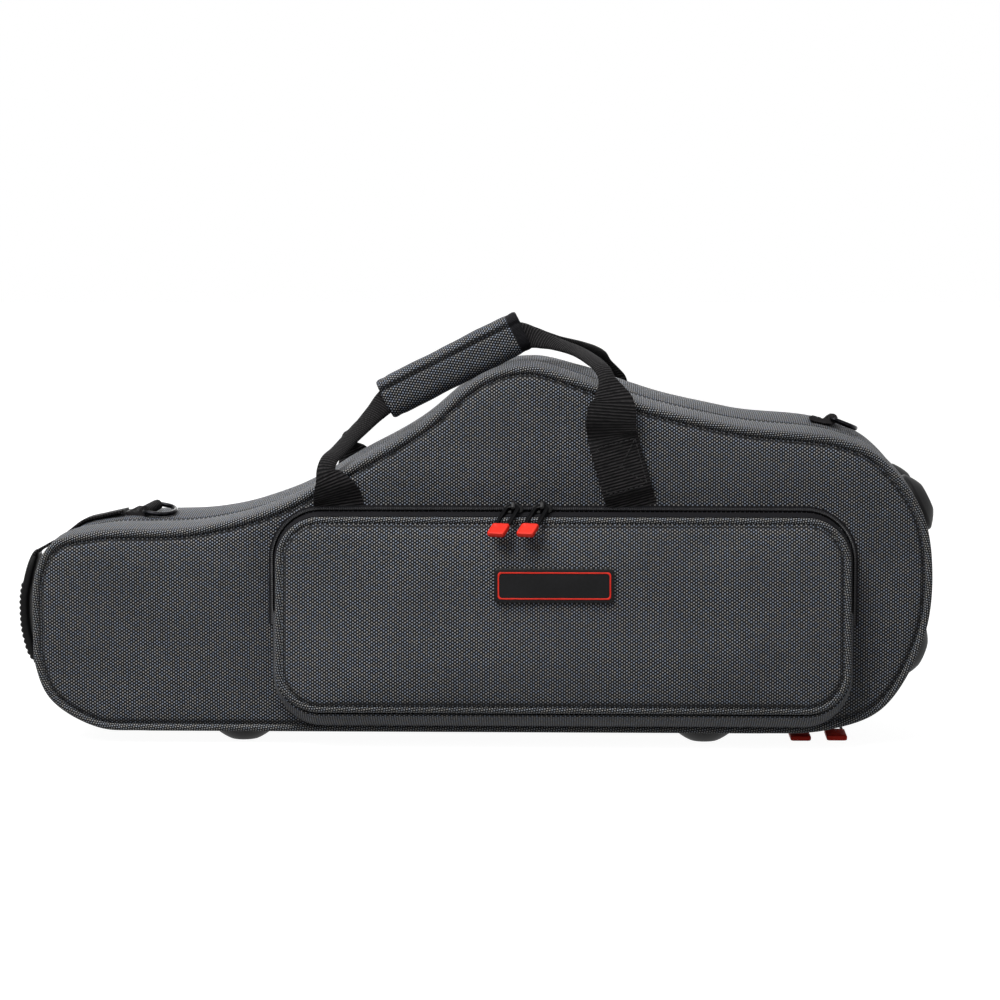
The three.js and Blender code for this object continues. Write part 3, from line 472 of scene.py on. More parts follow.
# The lighter second colour of the tape and of the coil is painted highlight on their rib crests
zip_tape_cloth = ribbed_finish("woven_zip_tape", "#0a0a0c", "#222125", 1.2, 0.1, 0.8, along=1)
zip_coil_nylon = ribbed_finish("nylon_zip_coil", "#08080a", "#3a3a3e", coil_pitch, 0.6, 0.4,
                               gloss=0.4)


def cloth_strip(points, finish=0):
    """A grid whose rows wrap round a strip's section, with its cloth laid on it."""
    wrap = (True, False)
    return grid(points, laid(points, wrap), wrap=wrap, finish=finish)


zip_start, zip_end = hinge_rows[1] * row_steps, (hinge_rows[0] + len(outline_rows)) * row_steps
zip_columns = np.arange(zip_start, zip_end + 1) % len(line)
# Depth past the parting plane, and inset from the outline
tape_section = np.array([[-10, 2.95], [-8, 2.2], [-5, 1.9], [-2.8, 1.9], [-0.15, 1.9],
                         [-0.15, 2.8], [-5, 3.0]])
coil_section = np.array([[-2.9, 1.9], [-2.6, 1.2], [-1.9, 0.75], [-1.0, 0.7], [-0.4, 0.95],
                         [-0.15, 1.5], [-0.5, 2.1], [-2.0, 2.2]])
for name, side in sides.items():
    parts = []
    for index, section in enumerate((tape_section, coil_section)):
        points = skin(side["y"](side["depth"] + section[:, 0]), section[:, 1])
        parts.append(cloth_strip(points[:, zip_columns], index))
    piece(f"{name}_zip_half", parts, [zip_tape_cloth, zip_coil_nylon], name,
          [f"{name}_zip_tape"])

# ---------------------------------------------------------------------------------------------
# Hinge. Where the zip stops, under the case, a doubled strip of the cover cloth joins the two
# shells and folds like a book's spine when the case opens.
# ---------------------------------------------------------------------------------------------
hinge_columns = np.arange(hinge_rows[0] * row_steps, hinge_rows[1] * row_steps + 1)
hinge_depth = np.array([74.0, *np.linspace(75.4, 90.6, 13), 92.0])
# Its edges are turned under, and it sinks half a millimetre along the parting plane
hinge_inset = np.array([2.9, *np.full(13, 1.0), 2.9])
hinge_inset[1:-1] += 0.5 * np.exp(-((hinge_depth[1:-1] - lid_depth) / 2.5) ** 2)
upper = skin(hinge_depth, hinge_inset)[:, hinge_columns]
lower = skin(hinge_depth[::-1], np.full(len(hinge_depth), 3.0))[:, hinge_columns]
hinge = piece("hinge_strip", [cloth_strip(np.concatenate([upper, lower]))], [gusset_cloth], None,
              ["hinge_tape"])
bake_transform(hinge)

# ---------------------------------------------------------------------------------------------
# Inside. Foam boards stiffen both shells; a black short-pile plush covers the lid's board and
# the shaped foam tray that holds the instrument, cut out for its body tube, bow and bell.
# ---------------------------------------------------------------------------------------------
plush_pile, tree, shader = finish_of("short_pile_plush", Roughness=1.0, Specular_IOR_Level=0.15,
                                     Sheen_Weight=0.7, Sheen_Roughness=0.35)
spot = add_node(tree, "TexCoord", out="Object")
pile = add_node(tree, "TexNoise", spot, Scale=1100.0, Detail=2.0)
brushed = add_node(tree, "TexNoise", spot, Scale=14.0, Detail=3.0)
tint = add_node(tree, "Math", pile, 0.4, operation="MULTIPLY")
tint = add_node(tree, "Math", brushed, 0.6, tint, operation="MULTIPLY_ADD")
tint = add_node(tree, "MapRange", tint, 0.3, 0.7, **smooth_step)
height = add_node(tree, "Math", brushed, 0.0012, operation="MULTIPLY")
height = add_node(tree, "Math", pile, 0.0006, height, operation="MULTIPLY_ADD")
dress(shader, add_node(tree, "Mix", tint, i6="#17171a", i7="#2d2d32", **colour_mix), height, 0.7)


def dish(name, side, profile, floor_out, floor_in, finish, body, node):
    """A dish turned out of a profile of depth and inset, closed over its two floors."""
    outer = skin(side["y"](profile[:, 0]), profile[:, 1])
    shrink = np.linspace(1, 0, 7)[1:]
    start = to_middle(outer[:1], side["y"](floor_out), shrink)[::-1]
    end = to_middle(outer[-1:], side["y"](floor_in), shrink)
    points = np.concatenate([start, outer[1:-1], end])
    return piece(name, [grid(points, wrap=(False, True))], [finish], body, [node])


for name, side in sides.items():
    deep = side["depth"]
    board_profile = np.array([[3.7, 12], [5.2, 6.4], [7.4, 3.6], [30, 3.3], [deep - 6, 3.3],
                              [deep - 1.2, 3.4], [deep - 0.8, 4.4], [deep - 0.8, 10.6],
                              [deep - 1.2, 11], [13, 11], [10.4, 14]])
    dish(f"{name}_foam_board", side, board_profile, 3.7, 10.4, inner_cloth, name,
         f"{name}_board")

lining_profile = np.array([[10.8, 16], [13, 11.4], [40, 11.3], [78, 11.3], [80.5, 10.8],
                           [82.0, 9.0], [82.2, 5.6], [82.5, 4.6], [82.8, 5.6], [82.8, 10],
                           [82.2, 13], [80, 15.2], [60, 15.5], [30, 15.6], [19, 16.2],
                           [15.8, 18], [14.6, 20]])
lining = dish("lid_plush_lining", sides["lid"], lining_profile, 10.8, 14.6, plush_pile, "lid",
              "lid_lining")

# The channels' two ends and width, and the bell's outline, as shares of the length and height
channel_shares = np.array([
    [-0.385, 0.215, 0.300, 0.225, 0.29], [0.315, 0.390, 0.325, 0.400, 0.62],
    [-0.395, 0.445, -0.230, 0.445, 0.11], [-0.165, 0.530, -0.070, 0.690, 0.16]])
bell_shares = np.array([
    [-0.010, 0.480], [0.020, 0.900], [0.100, 0.890], [0.360, 0.680], [0.300, 0.300]])
tray_floor_y, tray_top_y = 167.4, 83.4


def segment_distance(x, z, a, b):
    """The distance from each point to the segment a–b."""
    way = b - a
    t = np.clip(((x - a[0]) * way[0] + (z - a[1]) * way[1]) / (way @ way), 0, 1)
    return np.hypot(x - a[0] - t * way[0], z - a[1] - t * way[1])


def hollow_distance(x, z):
    """How far a point lies outside the instrument's space, less than 0 inside it: the least of
    the distances to the channels, less half their width, and to the bell's outline."""
    size = np.array([body_length, body_height])
    lift = np.array([0, foot_height])
    found = []
    for row in channel_shares:
        a, b = row[:2] * size + lift, row[2:4] * size + lift
        found.append(segment_distance(x, z, a, b) - row[4] * body_height / 2)
    corners = bell_shares * size + lift
    after = np.roll(corners, -1, 0)
    reach = np.min([segment_distance(x, z, a, b) for a, b in zip(corners, after)], 0)
    inside = np.ones(x.shape, bool)
    for a, b in zip(corners, after):
        inside &= (b[0] - a[0]) * (z - a[1]) - (b[1] - a[1]) * (x - a[0]) < 0
    found.append(np.where(inside, -reach, reach))
    return np.min(found, 0)


def tray_top(columns, rings):
    """The tray's face as a height over the panel: at the rim it is flush with the parting plane,
    and where a point lies in the instrument's space it drops to the floor, over a rounded lip."""
    rim = skin(tray_top_y, 11.6)[0]
    around = np.linspace(0, len(rim), columns, endpoint=False)
    index = np.arange(len(rim) + 1)
    rim = np.stack([np.interp(around, index, np.append(column, column[0])) for column in rim.T], 1)
    share = np.linspace(1, 0, rings + 1)[:, None, None]
    middle = np.array([panel_middle[0], tray_top_y, panel_middle[1]])
    points = middle + (rim[None] - middle) * share
    out = hollow_distance(points[..., 0], points[..., 2])
    drop = np.clip((1.5 - out) / 5.0, 0, 1)
    drop = drop * drop * (3 - 2 * drop)
    lip = 1.2 * np.exp(-(out / 7) ** 2) * (out > 0)
    # A wall is left all round, however near a hollow comes to the rim
    drop[:2], lip[:2] = 0, 0
    points[..., 1] = tray_top_y + (tray_floor_y - tray_top_y) * drop + lip
    return points


tray_thickness = 95.5
top = tray_top(640, 118)
back_rows = np.stack([top[0], top[0] + (0, tray_thickness, 0)])
under = to_middle(back_rows, tray_top_y + tray_thickness, np.linspace(1, 0, 5)[1:])
tray = piece("tray_plush_foam", [grid(g, wrap=(False, True)) for g in (top, under)],
             [plush_pile], "base", ["base_tray"], sharp=75)

# ---------------------------------------------------------------------------------------------
# Pocket. A padded panel of the same cloth on a gusset that stands out further at the bottom.
# It bends at a fold, so the upper part opens as a flap when its zip is run.
# ---------------------------------------------------------------------------------------------
side_slant, top_slant, bottom_slant = 2.5, 3.0, 15.0
top_proud, bottom_proud = 18.0, 32.0
pocket_crown, pocket_piping = 5.0, 5.2
fold_height = 98.0
corner_steps, edge_steps = 14, (64, 34, 64, 34)


def proud(z):
    """How far the pocket's plane stands out at a height: it grows evenly from top to bottom."""
    return top_proud + (bottom_proud - top_proud) * (pocket_top - z) / pocket_height


def pocket_ring(way, margin, lift=0.0):
    """A rounded rectangle, from the seam on the lid (way 0) to the panel (way 1), grown by margin:
    quarter turns about four corners, with even steps on the straight runs between them."""
    left = pocket_offset - pocket_width / 2 + side_slant * way - margin
    right = pocket_offset + pocket_width / 2 - side_slant * way + margin
    low = pocket_bottom + bottom_slant * way - margin
    high = pocket_top - top_slant * way + margin
    radius = pocket_corner + margin - side_slant * way
    centres = np.array([[right - radius, high - radius], [left + radius, high - radius],
                        [left + radius, low + radius], [right - radius, low + radius]])
    found = []
    for quarter, centre in enumerate(centres):
        angle = (quarter + np.linspace(0, 1, corner_steps)) * math.pi / 2
        turn = radius * np.stack([np.cos(angle), np.sin(angle)], 1)
        arc, next_start = centre + turn, centres[(quarter + 1) % 4] + turn[-1]
        t = np.linspace(0, 1, edge_steps[quarter] + 1, endpoint=False)[1:, None]
        found += [arc, arc[-1] + (next_start - arc[-1]) * t]
    flat = np.vstack(found)
    return np.stack([flat[:, 0], -proud(flat[:, 1]) * way - lift, flat[:, 1]], 1)


def ring_normal(ring):
    """The outward direction of a ring in its own plane, seen from the front."""
    ahead = np.roll(ring, -1, 0) - np.roll(ring, 1, 0)
    return unit(np.stack([ahead[:, 2], 0 * ahead[:, 0], -ahead[:, 0]], 1))


def fold_blend(obj):
    """Bakes a piece's placement into its mesh; it does not bend the piece between lid and flap."""
    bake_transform(obj)


panel_inset = 4.4
panel_edge = pocket_ring(1, -panel_inset)
edge_run = walked_along(np.vstack([panel_edge, panel_edge[:1]]))
spread = np.array([1, 0.996, 0.991, 0.985, 0.976, 0.964, 0.948, 0.927, 0.9, 0.865, 0.82, 0.765,
                   0.7, 0.63, 0.55, 0.46, 0.36, 0.25, 0.12, 0.0])[:, None]
middle = panel_edge.mean(0)
points = middle + (panel_edge[None] - middle) * spread[..., None]
inward = ring_normal(panel_edge)
distance = np.einsum("nk,rnk->rn", inward[:, [0, 2]], (panel_edge[None] - points)[..., [0, 2]])
rise = 2.3 * np.exp(-distance / 1.4)
crown = pocket_crown * (1 - spread ** 3) ** 0.8
sag = 0.9 * np.exp(-((points[..., 2] - 62) / 30) ** 2) * (1 - spread ** 4)
wave = ripple(points[..., 0] * 1.2 + 60, points[..., 2] * 1.1) * 1.6 * (1 - np.exp(-distance / 16))
# What is in the pocket presses a low swell into its right half, with a slack dent above it
swell_at = 1.5 * np.exp(-((points[..., 0] - 193) / 30) ** 2 - ((points[..., 2] - 78) / 17) ** 2)
dent_at = 1.7 * np.exp(-((points[..., 0] - 176) / 22) ** 2 - ((points[..., 2] - 157) / 11) ** 2)
points[..., 1] = -proud(points[..., 2]) + rise - crown - sag - wave - swell_at + dent_at
closing = np.concatenate([points, points[:, :1]], 1)
run_grid = np.broadcast_to(edge_run, closing.shape[:2])
edge = np.stack([run_grid, np.concatenate([distance, distance[:, :1]], 1)], -1)
outer = grid(points, closing[..., [0, 2]], edge, (False, True), 0)
# The panel's back lies 4 mm behind its plane
shrink = np.array([1, 0.97, 0.9, 0.8, 0.66, 0.5, 0.3, 0.0])[:, None, None]
back = middle + (panel_edge - middle) * shrink + (0, 4.2, 0)
back = np.concatenate([points[:1], back])
back[2:, :, 1] = -proud(back[2:, :, 2]) + 4.0
inner = grid(back, wrap=(False, True), finish=1)
pocket_panel = piece("pocket_panel_cloth", [outer, inner], [panel_cloth, inner_cloth], None,
                     ["pocket_panel_upper", "pocket_panel_lower"])
fold_blend(pocket_panel)

# The pocket's piping: the same bias-covered cord, run round the panel
radius = pocket_piping / 2
centre = pocket_ring(1, -radius, -radius)
points = hoop(centre, radius, 14, ring_normal(centre), np.array([0.0, -1.0, 0.0]))
wrap = (True, True)
pocket_cord = piece("pocket_piping_cord", [grid(points, on_bias(laid(points, wrap)), wrap=wrap)],
                    [piping_cloth], None, ["pocket_piping_upper", "pocket_piping_lower"])
fold_blend(pocket_cord)

# ---------------------------------------------------------------------------------------------
# Pocket gusset and zip. Above the fold the gusset is the zip's black tape, with the coil next to
# the lid; below it the gusset is cover cloth. The other half of the zip is sewn flat on the lid.
# ---------------------------------------------------------------------------------------------
ring_height = pocket_ring(0, 0)[:, 2]
upper_columns = np.nonzero(ring_height > fold_height - 4)[0]
upper_columns = np.roll(upper_columns, -1 - np.argmax(np.diff(upper_columns) > 1))
lower_columns = np.nonzero(ring_height <= fold_height + 6)[0]


def wall(columns, ways, bulge):
    """A gusset between two ways of the pocket, 1.4 mm thick: it swells between them by bulge ×
    the sine of its share of the way."""
    swelled = bulge * np.sin(math.pi * (ways - ways[0]) / (ways[-1] - ways[0]))
    out, back = (np.stack([pocket_ring(w, s - thickness, 0.25)[columns]
                           for w, s in zip(ways, swelled)]) for thickness in (0, 1.4))
    return np.concatenate([out, back[::-1]])


ways = np.linspace(0.02, 0.8, 9)
flap_tape = piece("pocket_flap_tape", [cloth_strip(wall(upper_columns, ways, 0.5))],
                  [zip_tape_cloth], None, ["pocket_zip_tape_flap"])
fold_blend(flap_tape)
piece("pocket_gusset_cloth", [cloth_strip(wall(lower_columns, ways, 1.2))], [gusset_cloth],
      "lid", ["pocket_gusset"])

# Margin round the pocket's seam, and height over the lid
shell_section = np.array([[0.4, 0.3], [0.4, 1.1], [1.2, 1.3], [3.4, 1.3], [4.4, 0.9],
                          [4.7, 0.2], [4.4, -0.6], [0.6, -0.6]])
bead_section = np.array([[0.5, 1.2], [0.8, 2.2], [1.5, 2.8], [2.4, 2.8], [3.1, 2.2], [3.4, 1.2]])
parts = []
for index, section in enumerate((shell_section, bead_section)):
    points = np.stack([pocket_ring(0, m, lift)[upper_columns] for m, lift in section])
    parts.append(cloth_strip(points, index))
piece("pocket_shell_tape", parts, [zip_tape_cloth, zip_coil_nylon], "lid",
      ["pocket_zip_tape_shell"])

# ---------------------------------------------------------------------------------------------
# Badge. A moulded soft PVC plate sewn on the panel, near black, with a thin raised red border
# inside its edge. Its face is left bare.
# ---------------------------------------------------------------------------------------------
badge_width, badge_height, badge_corner = 90.5, 25.8, 3.0
badge_x, badge_z = 56.9, 127.4


def moulded(name, colour, light, roughness, gloss, grain=0.00002, scale=500.0):
    """Moulded rubber or plastic: one colour that a fine mould texture breaks up."""
    material, tree, shader = finish_of(name, Roughness=roughness, Specular_IOR_Level=gloss)
    spot = add_node(tree, "TexCoord", out="Object")
    texture = add_node(tree, "TexNoise", spot, Scale=scale, Detail=3.0)
    smear = add_node(tree, "TexNoise", spot, Scale=45.0, Detail=2.0)
    share = add_node(tree, "Math", smear, 0.5, operation="MULTIPLY")
    share = add_node(tree, "Math", texture, 0.5, share, operation="MULTIPLY_ADD")
    share = add_node(tree, "MapRange", share, 0.3, 0.7, **smooth_step)
    height = add_node(tree, "Math", texture, grain, operation="MULTIPLY")
    dress(shader, add_node(tree, "Mix", share, i6=colour, i7=light, **colour_mix), height)
    return material


black_rubber = moulded("moulded_black_rubber", "#070708", "#121213", 0.5, gloss=0.12,
                       grain=0.00005)
red_rubber = moulded("moulded_red_rubber", "#d9281b", "#e63526", 0.5, gloss=0.2)
badge_rubber = moulded("moulded_badge_pvc", "#070708", "#111113", 0.45, gloss=0.15)


def rounded_loop(width, height, corner, steps=8):
    """The outline of a rectangle with rounded corners, anticlockwise from its right side."""
    corner = min(corner, width / 2, height / 2)
    x, z = width / 2 - corner, height / 2 - corner
    quarter = np.arange(4).repeat(steps)
    angle = (quarter + np.tile(np.linspace(0, 1, steps), 4)) * math.pi / 2
    centre = np.array([[x, z], [-x, z], [-x, -z], [x, -z]])[quarter]
    return centre + corner * np.stack([np.cos(angle), np.sin(angle)], 1)


def stacked(loops, heights):
    """Flat loops laid over each other at heights."""
    return np.stack([np.column_stack([loop, np.full(len(loop), h)])
                     for loop, h in zip(loops, heights)])


def slab(loops, heights):
    """A slab built of loops at heights, closed with a fan at both ends."""
    rows = stacked(loops, heights)
    fans = rows[[0, -1]].mean(1, keepdims=True) + 0 * rows[:1]
    return np.concatenate([fans[:1], rows, fans[1:]])


def badge_place(local):
    """Lays flat x, y and height on the panel's plane where the badge is sewn."""
    x, z, lift = local[..., 0], local[..., 1], local[..., 2]
    lean = math.atan((bottom_proud - top_proud) / pocket_height)
    centre = np.array([badge_x, -proud(badge_z) - pocket_crown - 1.0, badge_z])
    turned_y = -lift * math.cos(lean) + z * math.sin(lean)
    turned_z = z * math.cos(lean) + lift * math.sin(lean)
    return centre + np.stack([x, turned_y, turned_z], -1)


loop = rounded_loop(badge_width, badge_height, badge_corner)
plate = slab([loop * (1 - 2 * inset / np.array([badge_width, badge_height]))
              for inset in (0, 0, 0.5, 1.1)], (-3.0, 1.7, 2.25, 2.4))
border_insets, border_heights = (2.6, 2.6, 2.8, 3.5, 3.7, 3.7), (2.2, 2.75, 2.95, 2.95, 2.75, 2.2)
border = stacked([rounded_loop(badge_width - 2 * inset, badge_height - 2 * inset, 2.4)
                  for inset in border_insets], border_heights)
piece("badge_plate", [grid(badge_place(plate), wrap=(False, True)),
                      grid(badge_place(border), wrap=(True, True), finish=1)],
      [badge_rubber, red_rubber], "pocket_flap", ["badge"])

# ---------------------------------------------------------------------------------------------
# Carrying handle. Black 38 mm nylon webbing with ribs across it, sewn flat on both shells and
# folded lengthwise into a round cord where it leaves them and runs through the grip.
# ---------------------------------------------------------------------------------------------
strap_width, strap_thickness, strap_standoff = 38.0, 2.4, 2.7
# Shares of the length, depth and height, the turn of its face from level (0) to upwards (1), and
# shares of the webbing's own width and thickness
left_leg = np.array([
    [-0.156, 0.029, 0.612, 0, 1, 0.4], [-0.1572, 0.024, 0.632, 0, 1, 0.5],
    [-0.1588, 0, 0.65, 0, 0.97, 0.9], [-0.1612, -0.03, 0.668, -0.1, 0.88, 1],
    [-0.165, -0.04, 0.692, 0.1, 0.66, 1.2], [-0.1694, -0.015, 0.718, 0.35, 0.4, 1.8],
    [-0.1672, 0.055, 0.744, 0.5, 0.36, 2.2], [-0.1583, 0.237, 0.766, 0.6, 0.36, 2.5],
    [-0.1491, 0.43, 0.792, 0.6, 0.36, 2.5], [-0.1364, 0.635, 0.824, 0.55, 0.38, 2.6],
    [-0.1222, 0.828, 0.862, 0.35, 0.44, 2.9]])
# Over the line where it is sewn down, the right leg flares from its fold and bulges off the shell
right_leg = np.array([
    [0.056, 0.945, 1.069, 0.2, 0.46, 2.8], [0.068, 0.89, 1.062, 0.4, 0.41, 2.6],
    [0.0809, 0.828, 1.054, 0.55, 0.38, 2.5], [0.1058, 0.599, 1.036, 0.7, 0.36, 2.5],
    [0.1235, 0.298, 1.013, 0.75, 0.36, 2.5], [0.135, 0.08, 0.989, 0.7, 0.34, 2.2],
    [0.14, 0.005, 0.964, 0.5, 0.36, 1.8], [0.1435, -0.045, 0.935, 0.35, 0.6, 1.3],
    [0.1455, -0.08, 0.908, 0.15, 0.84, 1], [0.145, -0.09, 0.881, -0.1, 0.97, 1],
    [0.1443, -0.08, 0.854, -0.45, 1, 1], [0.1445, -0.04, 0.83, -0.75, 1, 1],
    [0.1458, -0.004, 0.813, -0.4, 1, 1.5], [0.1472, 0, 0.798, 0, 1, 2],
    [0.1628, 0, 0.664, 0, 1, 2], [0.1644, 0.01, 0.65, 0, 1, 1],
    [0.1665, 0.024, 0.632, 0, 1, 0.5], [0.1688, 0.029, 0.612, 0, 1, 0.4]])
sewn_box = np.array([[0.1488, 0, 0.793, 0, 1, 2], [0.1624, 0, 0.668, 0, 1, 2]])
grip_shares = np.array([[-0.1126, 0.893], [0.0463, 1.09]])
folded_width, folded_thickness = strap_width * 0.55, strap_thickness * 3.2
grip_depth = 0.15 + 0.35 + folded_thickness / 2
# The lighter second colour of the webbing is painted highlight on its rib crests
webbing = ribbed_finish("woven_nylon_webbing", "#030304", "#343233", 2.3, 0.8, 0.75)


def strap_rows(side, legs):
    """Place, facing, width and thickness of the strap in the case's own frame."""
    over, turn = legs[:, 1], legs[:, 3] * math.pi / 2
    lift = rear_fullness * (1 - over) * (side["away"] > 0)
    x, z = legs[:, 0] * body_length, legs[:, 2] * body_height + foot_height + lift
    # Where it lies on the shell, the padding under it carries it
    carried = swelling(side, x, z, 40.0) * (1 - over / 0.1).clip(0, 1)
    return np.column_stack([
        x, side["y"](over * side["depth"] - strap_standoff - carried), z,
        0 * turn, side["away"] * np.cos(turn), np.sin(turn),
        legs[:, 4] * strap_width, legs[:, 5] * strap_thickness])


def squared(angle, power):
    """Cosine and sine, each to a power: the lower it is, the squarer is the circle they draw."""
    c, s = np.cos(angle), np.sin(angle)
    return np.sign(c) * np.abs(c) ** power, np.sign(s) * np.abs(s) ** power


def band(rows, steps, flatness=None):
    """A band carried along rows of place, facing, width and thickness. Its section is a rounded
    box where it is flat and turns to an ellipse where it is folded."""
    dense, _ = curve_through(rows, steps, False)
    at, facing, width, thickness = dense[:, :3], dense[:, 3:6], dense[:, 6:7], dense[:, 7:8]
    ahead = unit(np.gradient(at, axis=0))
    across = unit(np.cross(facing, ahead))
    through = np.cross(ahead, across)
    if flatness is None:
        flatness = np.clip((width / strap_width - 0.58) / 0.3, 0, 1)
    turns = 20
    u, v = squared(circle(turns), 1 / (1 + 2.5 * flatness))
    points = (at[:, None] + across[:, None] * (u * width / 2)[..., None]
              + through[:, None] * (v * thickness / 2)[..., None])
    round_it = np.arange(turns + 1) / turns * 2 * strap_width
    return grid(points.transpose(1, 0, 2), pairs(walked_along(at), round_it), wrap=(True, False))


def stitch_line(path, facing, length=3.0, gap=1.0, radius=0.42):
    """A row of thread stitches over a path: each is a short flat six-sided bead, its ends sunk in
    the cloth. Gives one small grid for each stitch."""
    walked = walked_along(path)
    found = []
    for start in np.arange(gap, walked[-1] - length, length + gap):
        where = start + length * np.array([0, 0.2, 0.8, 1])
        at = np.stack([np.interp(where, walked, path[:, k]) for k in range(3)], 1)
        across = np.cross(facing, unit(at[-1] - at[0]))
        at = at + facing * np.array([-0.3, 0.35, 0.35, -0.3])[:, None]
        angle = np.arange(6)[:, None] * math.pi / 3
        ring = across * np.cos(angle) + facing * np.sin(angle)
        size = radius * np.array([0.4, 1, 1, 0.4])
        found.append(grid(at[:, None] + ring * size[:, None, None], wrap=(False, True), finish=1))
    return found


def crossed_box(corners, facing, **stitch):
    """Stitches round a box of four corners, and along both its diagonals."""
    found = []
    for a, b in ((0, 1), (1, 2), (2, 3), (3, 0), (0, 2), (1, 3)):
        path = corners[a] + (corners[b] - corners[a]) * np.linspace(0, 1, 8)[:, None]
        found += stitch_line(path, facing, **stitch)
    return found


thread = moulded("bonded_sewing_thread", "#1c1c1d", "#3c3b3c", 0.5, gloss=0.15, scale=2500.0)
grip_ends = grip_shares * (body_length, body_height) + (0, foot_height)
for name, side in sides.items():
    held = []
    for share in (0.05, 0.33, 0.66, 0.93):
        x, z = grip_ends[0] + (grip_ends[1] - grip_ends[0]) * share
        held.append([x, side["y"](side["depth"] - grip_depth), z, 0, side["away"], 0,
                     folded_width, folded_thickness])
    rows = np.vstack([strap_rows(side, left_leg), held, strap_rows(side, right_leg)])
    # The crossed box lies on the doubled webbing's face, 3.5 mm inside its edges
    facing = np.array([0.0, side["away"], 0.0])
    top, bottom = strap_rows(side, sewn_box)[:, :3] + facing * (strap_thickness + 0.05)
    down = unit(bottom - top)
    half = np.array([-down[2], 0, down[0]]) * (strap_width / 2 - 3.5)
    corners = np.array([top + half, top - half, bottom - half, bottom + half])
    piece(f"handle_webbing_{side['place']}", [band(rows, 9), *crossed_box(corners, facing)],
          [webbing, thread], name, [f"handle_strap_{side['place']}"])

# ---------------------------------------------------------------------------------------------
# Grip wrap. A padded sleeve of the cover cloth that closes over both straps, cut square at its
# ends, with its overlap turned down and stitched along the upper side.
# ---------------------------------------------------------------------------------------------
grip_play, grip_wall, overlap_at = 0.7, 5.0, 0.42
grip_cloth = dotted_cloth("woven_polyester_grip", stitch_row=1.2)
inner_reach = grip_depth + folded_thickness / 2 + grip_play
outer_reach = inner_reach + grip_wall + 1.0
inner_half = folded_width / 2 + grip_play
outer_half = inner_half + grip_wall - 0.3
for name, side in sides.items():
    away = np.array([0.0, side["away"], 0])
    start, end = (np.array([x, lid_depth, z]) + away * 0.15 for x, z in grip_ends)
    ahead, long = unit(end - start), np.linalg.norm(end - start)
    up = np.array([-ahead[2], 0, ahead[0]])
    near = np.array([0, 0.4, 1.2, 2.6, 4.4, 6.4, 8.2, 11])
    t = np.concatenate([near, np.linspace(16, long - 16, 18), long - near[::-1]])
    # The padding is thin at its cut ends, and swells a little unevenly between them
    end_way = np.minimum(t, long - t)
    pinch = 1 - 0.07 * np.exp(-end_way / 1.1) - 0.04 * np.exp(-((end_way - 7) / 3) ** 2)
    pinch = pinch * (1 + 0.012 * np.sin(t / 11) + 0.008 * np.sin(t / 4.3))
    angle = np.linspace(-math.pi / 2, math.pi / 2, 49)
    # The turned-down overlap is one layer thicker, from the top to its stitched edge
    if name == "lid":
        past = angle - overlap_at
        layer = 1.5 / (1 + np.exp(-past / 0.04)) - 0.7 * np.exp(-((past + 0.1) / 0.07) ** 2)
    else:
        layer = 1.5 / (1 + np.exp(-(angle - 0.2) / 0.3))
    u, v = squared(angle, 0.62)
    section = np.stack([u * (outer_reach + layer), v * (outer_half + layer)], 1)
    hollow = np.array([[0, 1], [0.75, 0.98], [1, 0.6], [1, -0.6], [0.75, -0.98], [0, -1]])
    hollow = hollow * (inner_reach, inner_half)
    spine = start + ahead * t[:, None, None]
    walls = spine + pinch[:, None, None] * (away * section[:, :1] + up * section[:, 1:])
    hollow_walls = spine + away * hollow[:, :1] + up * hollow[:, 1:]
    walked = walked_along(section)
    from_fold = np.abs(walked - np.interp(overlap_at, angle, walked))
    cloth, edge = (pairs(across, t)[..., ::-1] for across in (walked, from_fold))
    ring = np.concatenate([walls, hollow_walls], 1)
    closing = len(hollow) + 1
    cloth = np.concatenate([cloth, np.repeat(cloth[:, -1:], closing, 1)], 1)
    edge = np.concatenate([edge, np.full((len(t), closing, 2), 500.0)], 1)
    # The wrap's black lining is turned out over its right end
    parts = [grid(ring[:-6], cloth[:-6], edge[:-6], (False, True)),
             grid(ring[-7:], cloth[-7:], None, (False, True), finish=1)]
    matched = np.linspace(0, len(hollow) - 1, len(section))
    for row in (0, -1):
        inner_line = np.stack([np.interp(matched, np.arange(len(hollow)),
                                         hollow_walls[row, ::-1, k]) for k in range(3)], 1)
        parts.append(grid(np.stack([walls[row], inner_line]), finish=1))
    grip = piece(f"grip_pad_{side['place']}", parts, [grip_cloth, zip_tape_cloth], name,
                 [f"grip_wrap_{side['place']}"], sharp=50)

# ---------------------------------------------------------------------------------------------
# End handle. A 25 mm strap sewn to the narrow end at both its ends, through a moulded rubber
# grip with ribs across its outer side.
# ---------------------------------------------------------------------------------------------
end_strap_shares = np.array([
    [-0.4609, 0.030], [-0.4826, 0.041], [-0.5014, 0.064], [-0.5145, 0.092], [-0.5232, 0.124],
    [-0.5319, 0.161], [-0.5361, 0.197], [-0.5394, 0.240], [-0.5403, 0.294], [-0.5396, 0.330],
    [-0.5364, 0.372], [-0.5309, 0.427], [-0.5275, 0.450], [-0.5145, 0.470], [-0.4986, 0.492],
    [-0.4870, 0.512], [-0.4696, 0.543], [-0.4478, 0.557], [-0.4225, 0.571]])
end_depth, end_strap_width, end_strap_thickness = 115.0, 25.0, 2.4
end_grip_width, end_grip_thickness = 33.0, 9.5
rib_pitch, rib_proud, ribbed_heights = 4.5, 1.4, (48.0, 113.0)


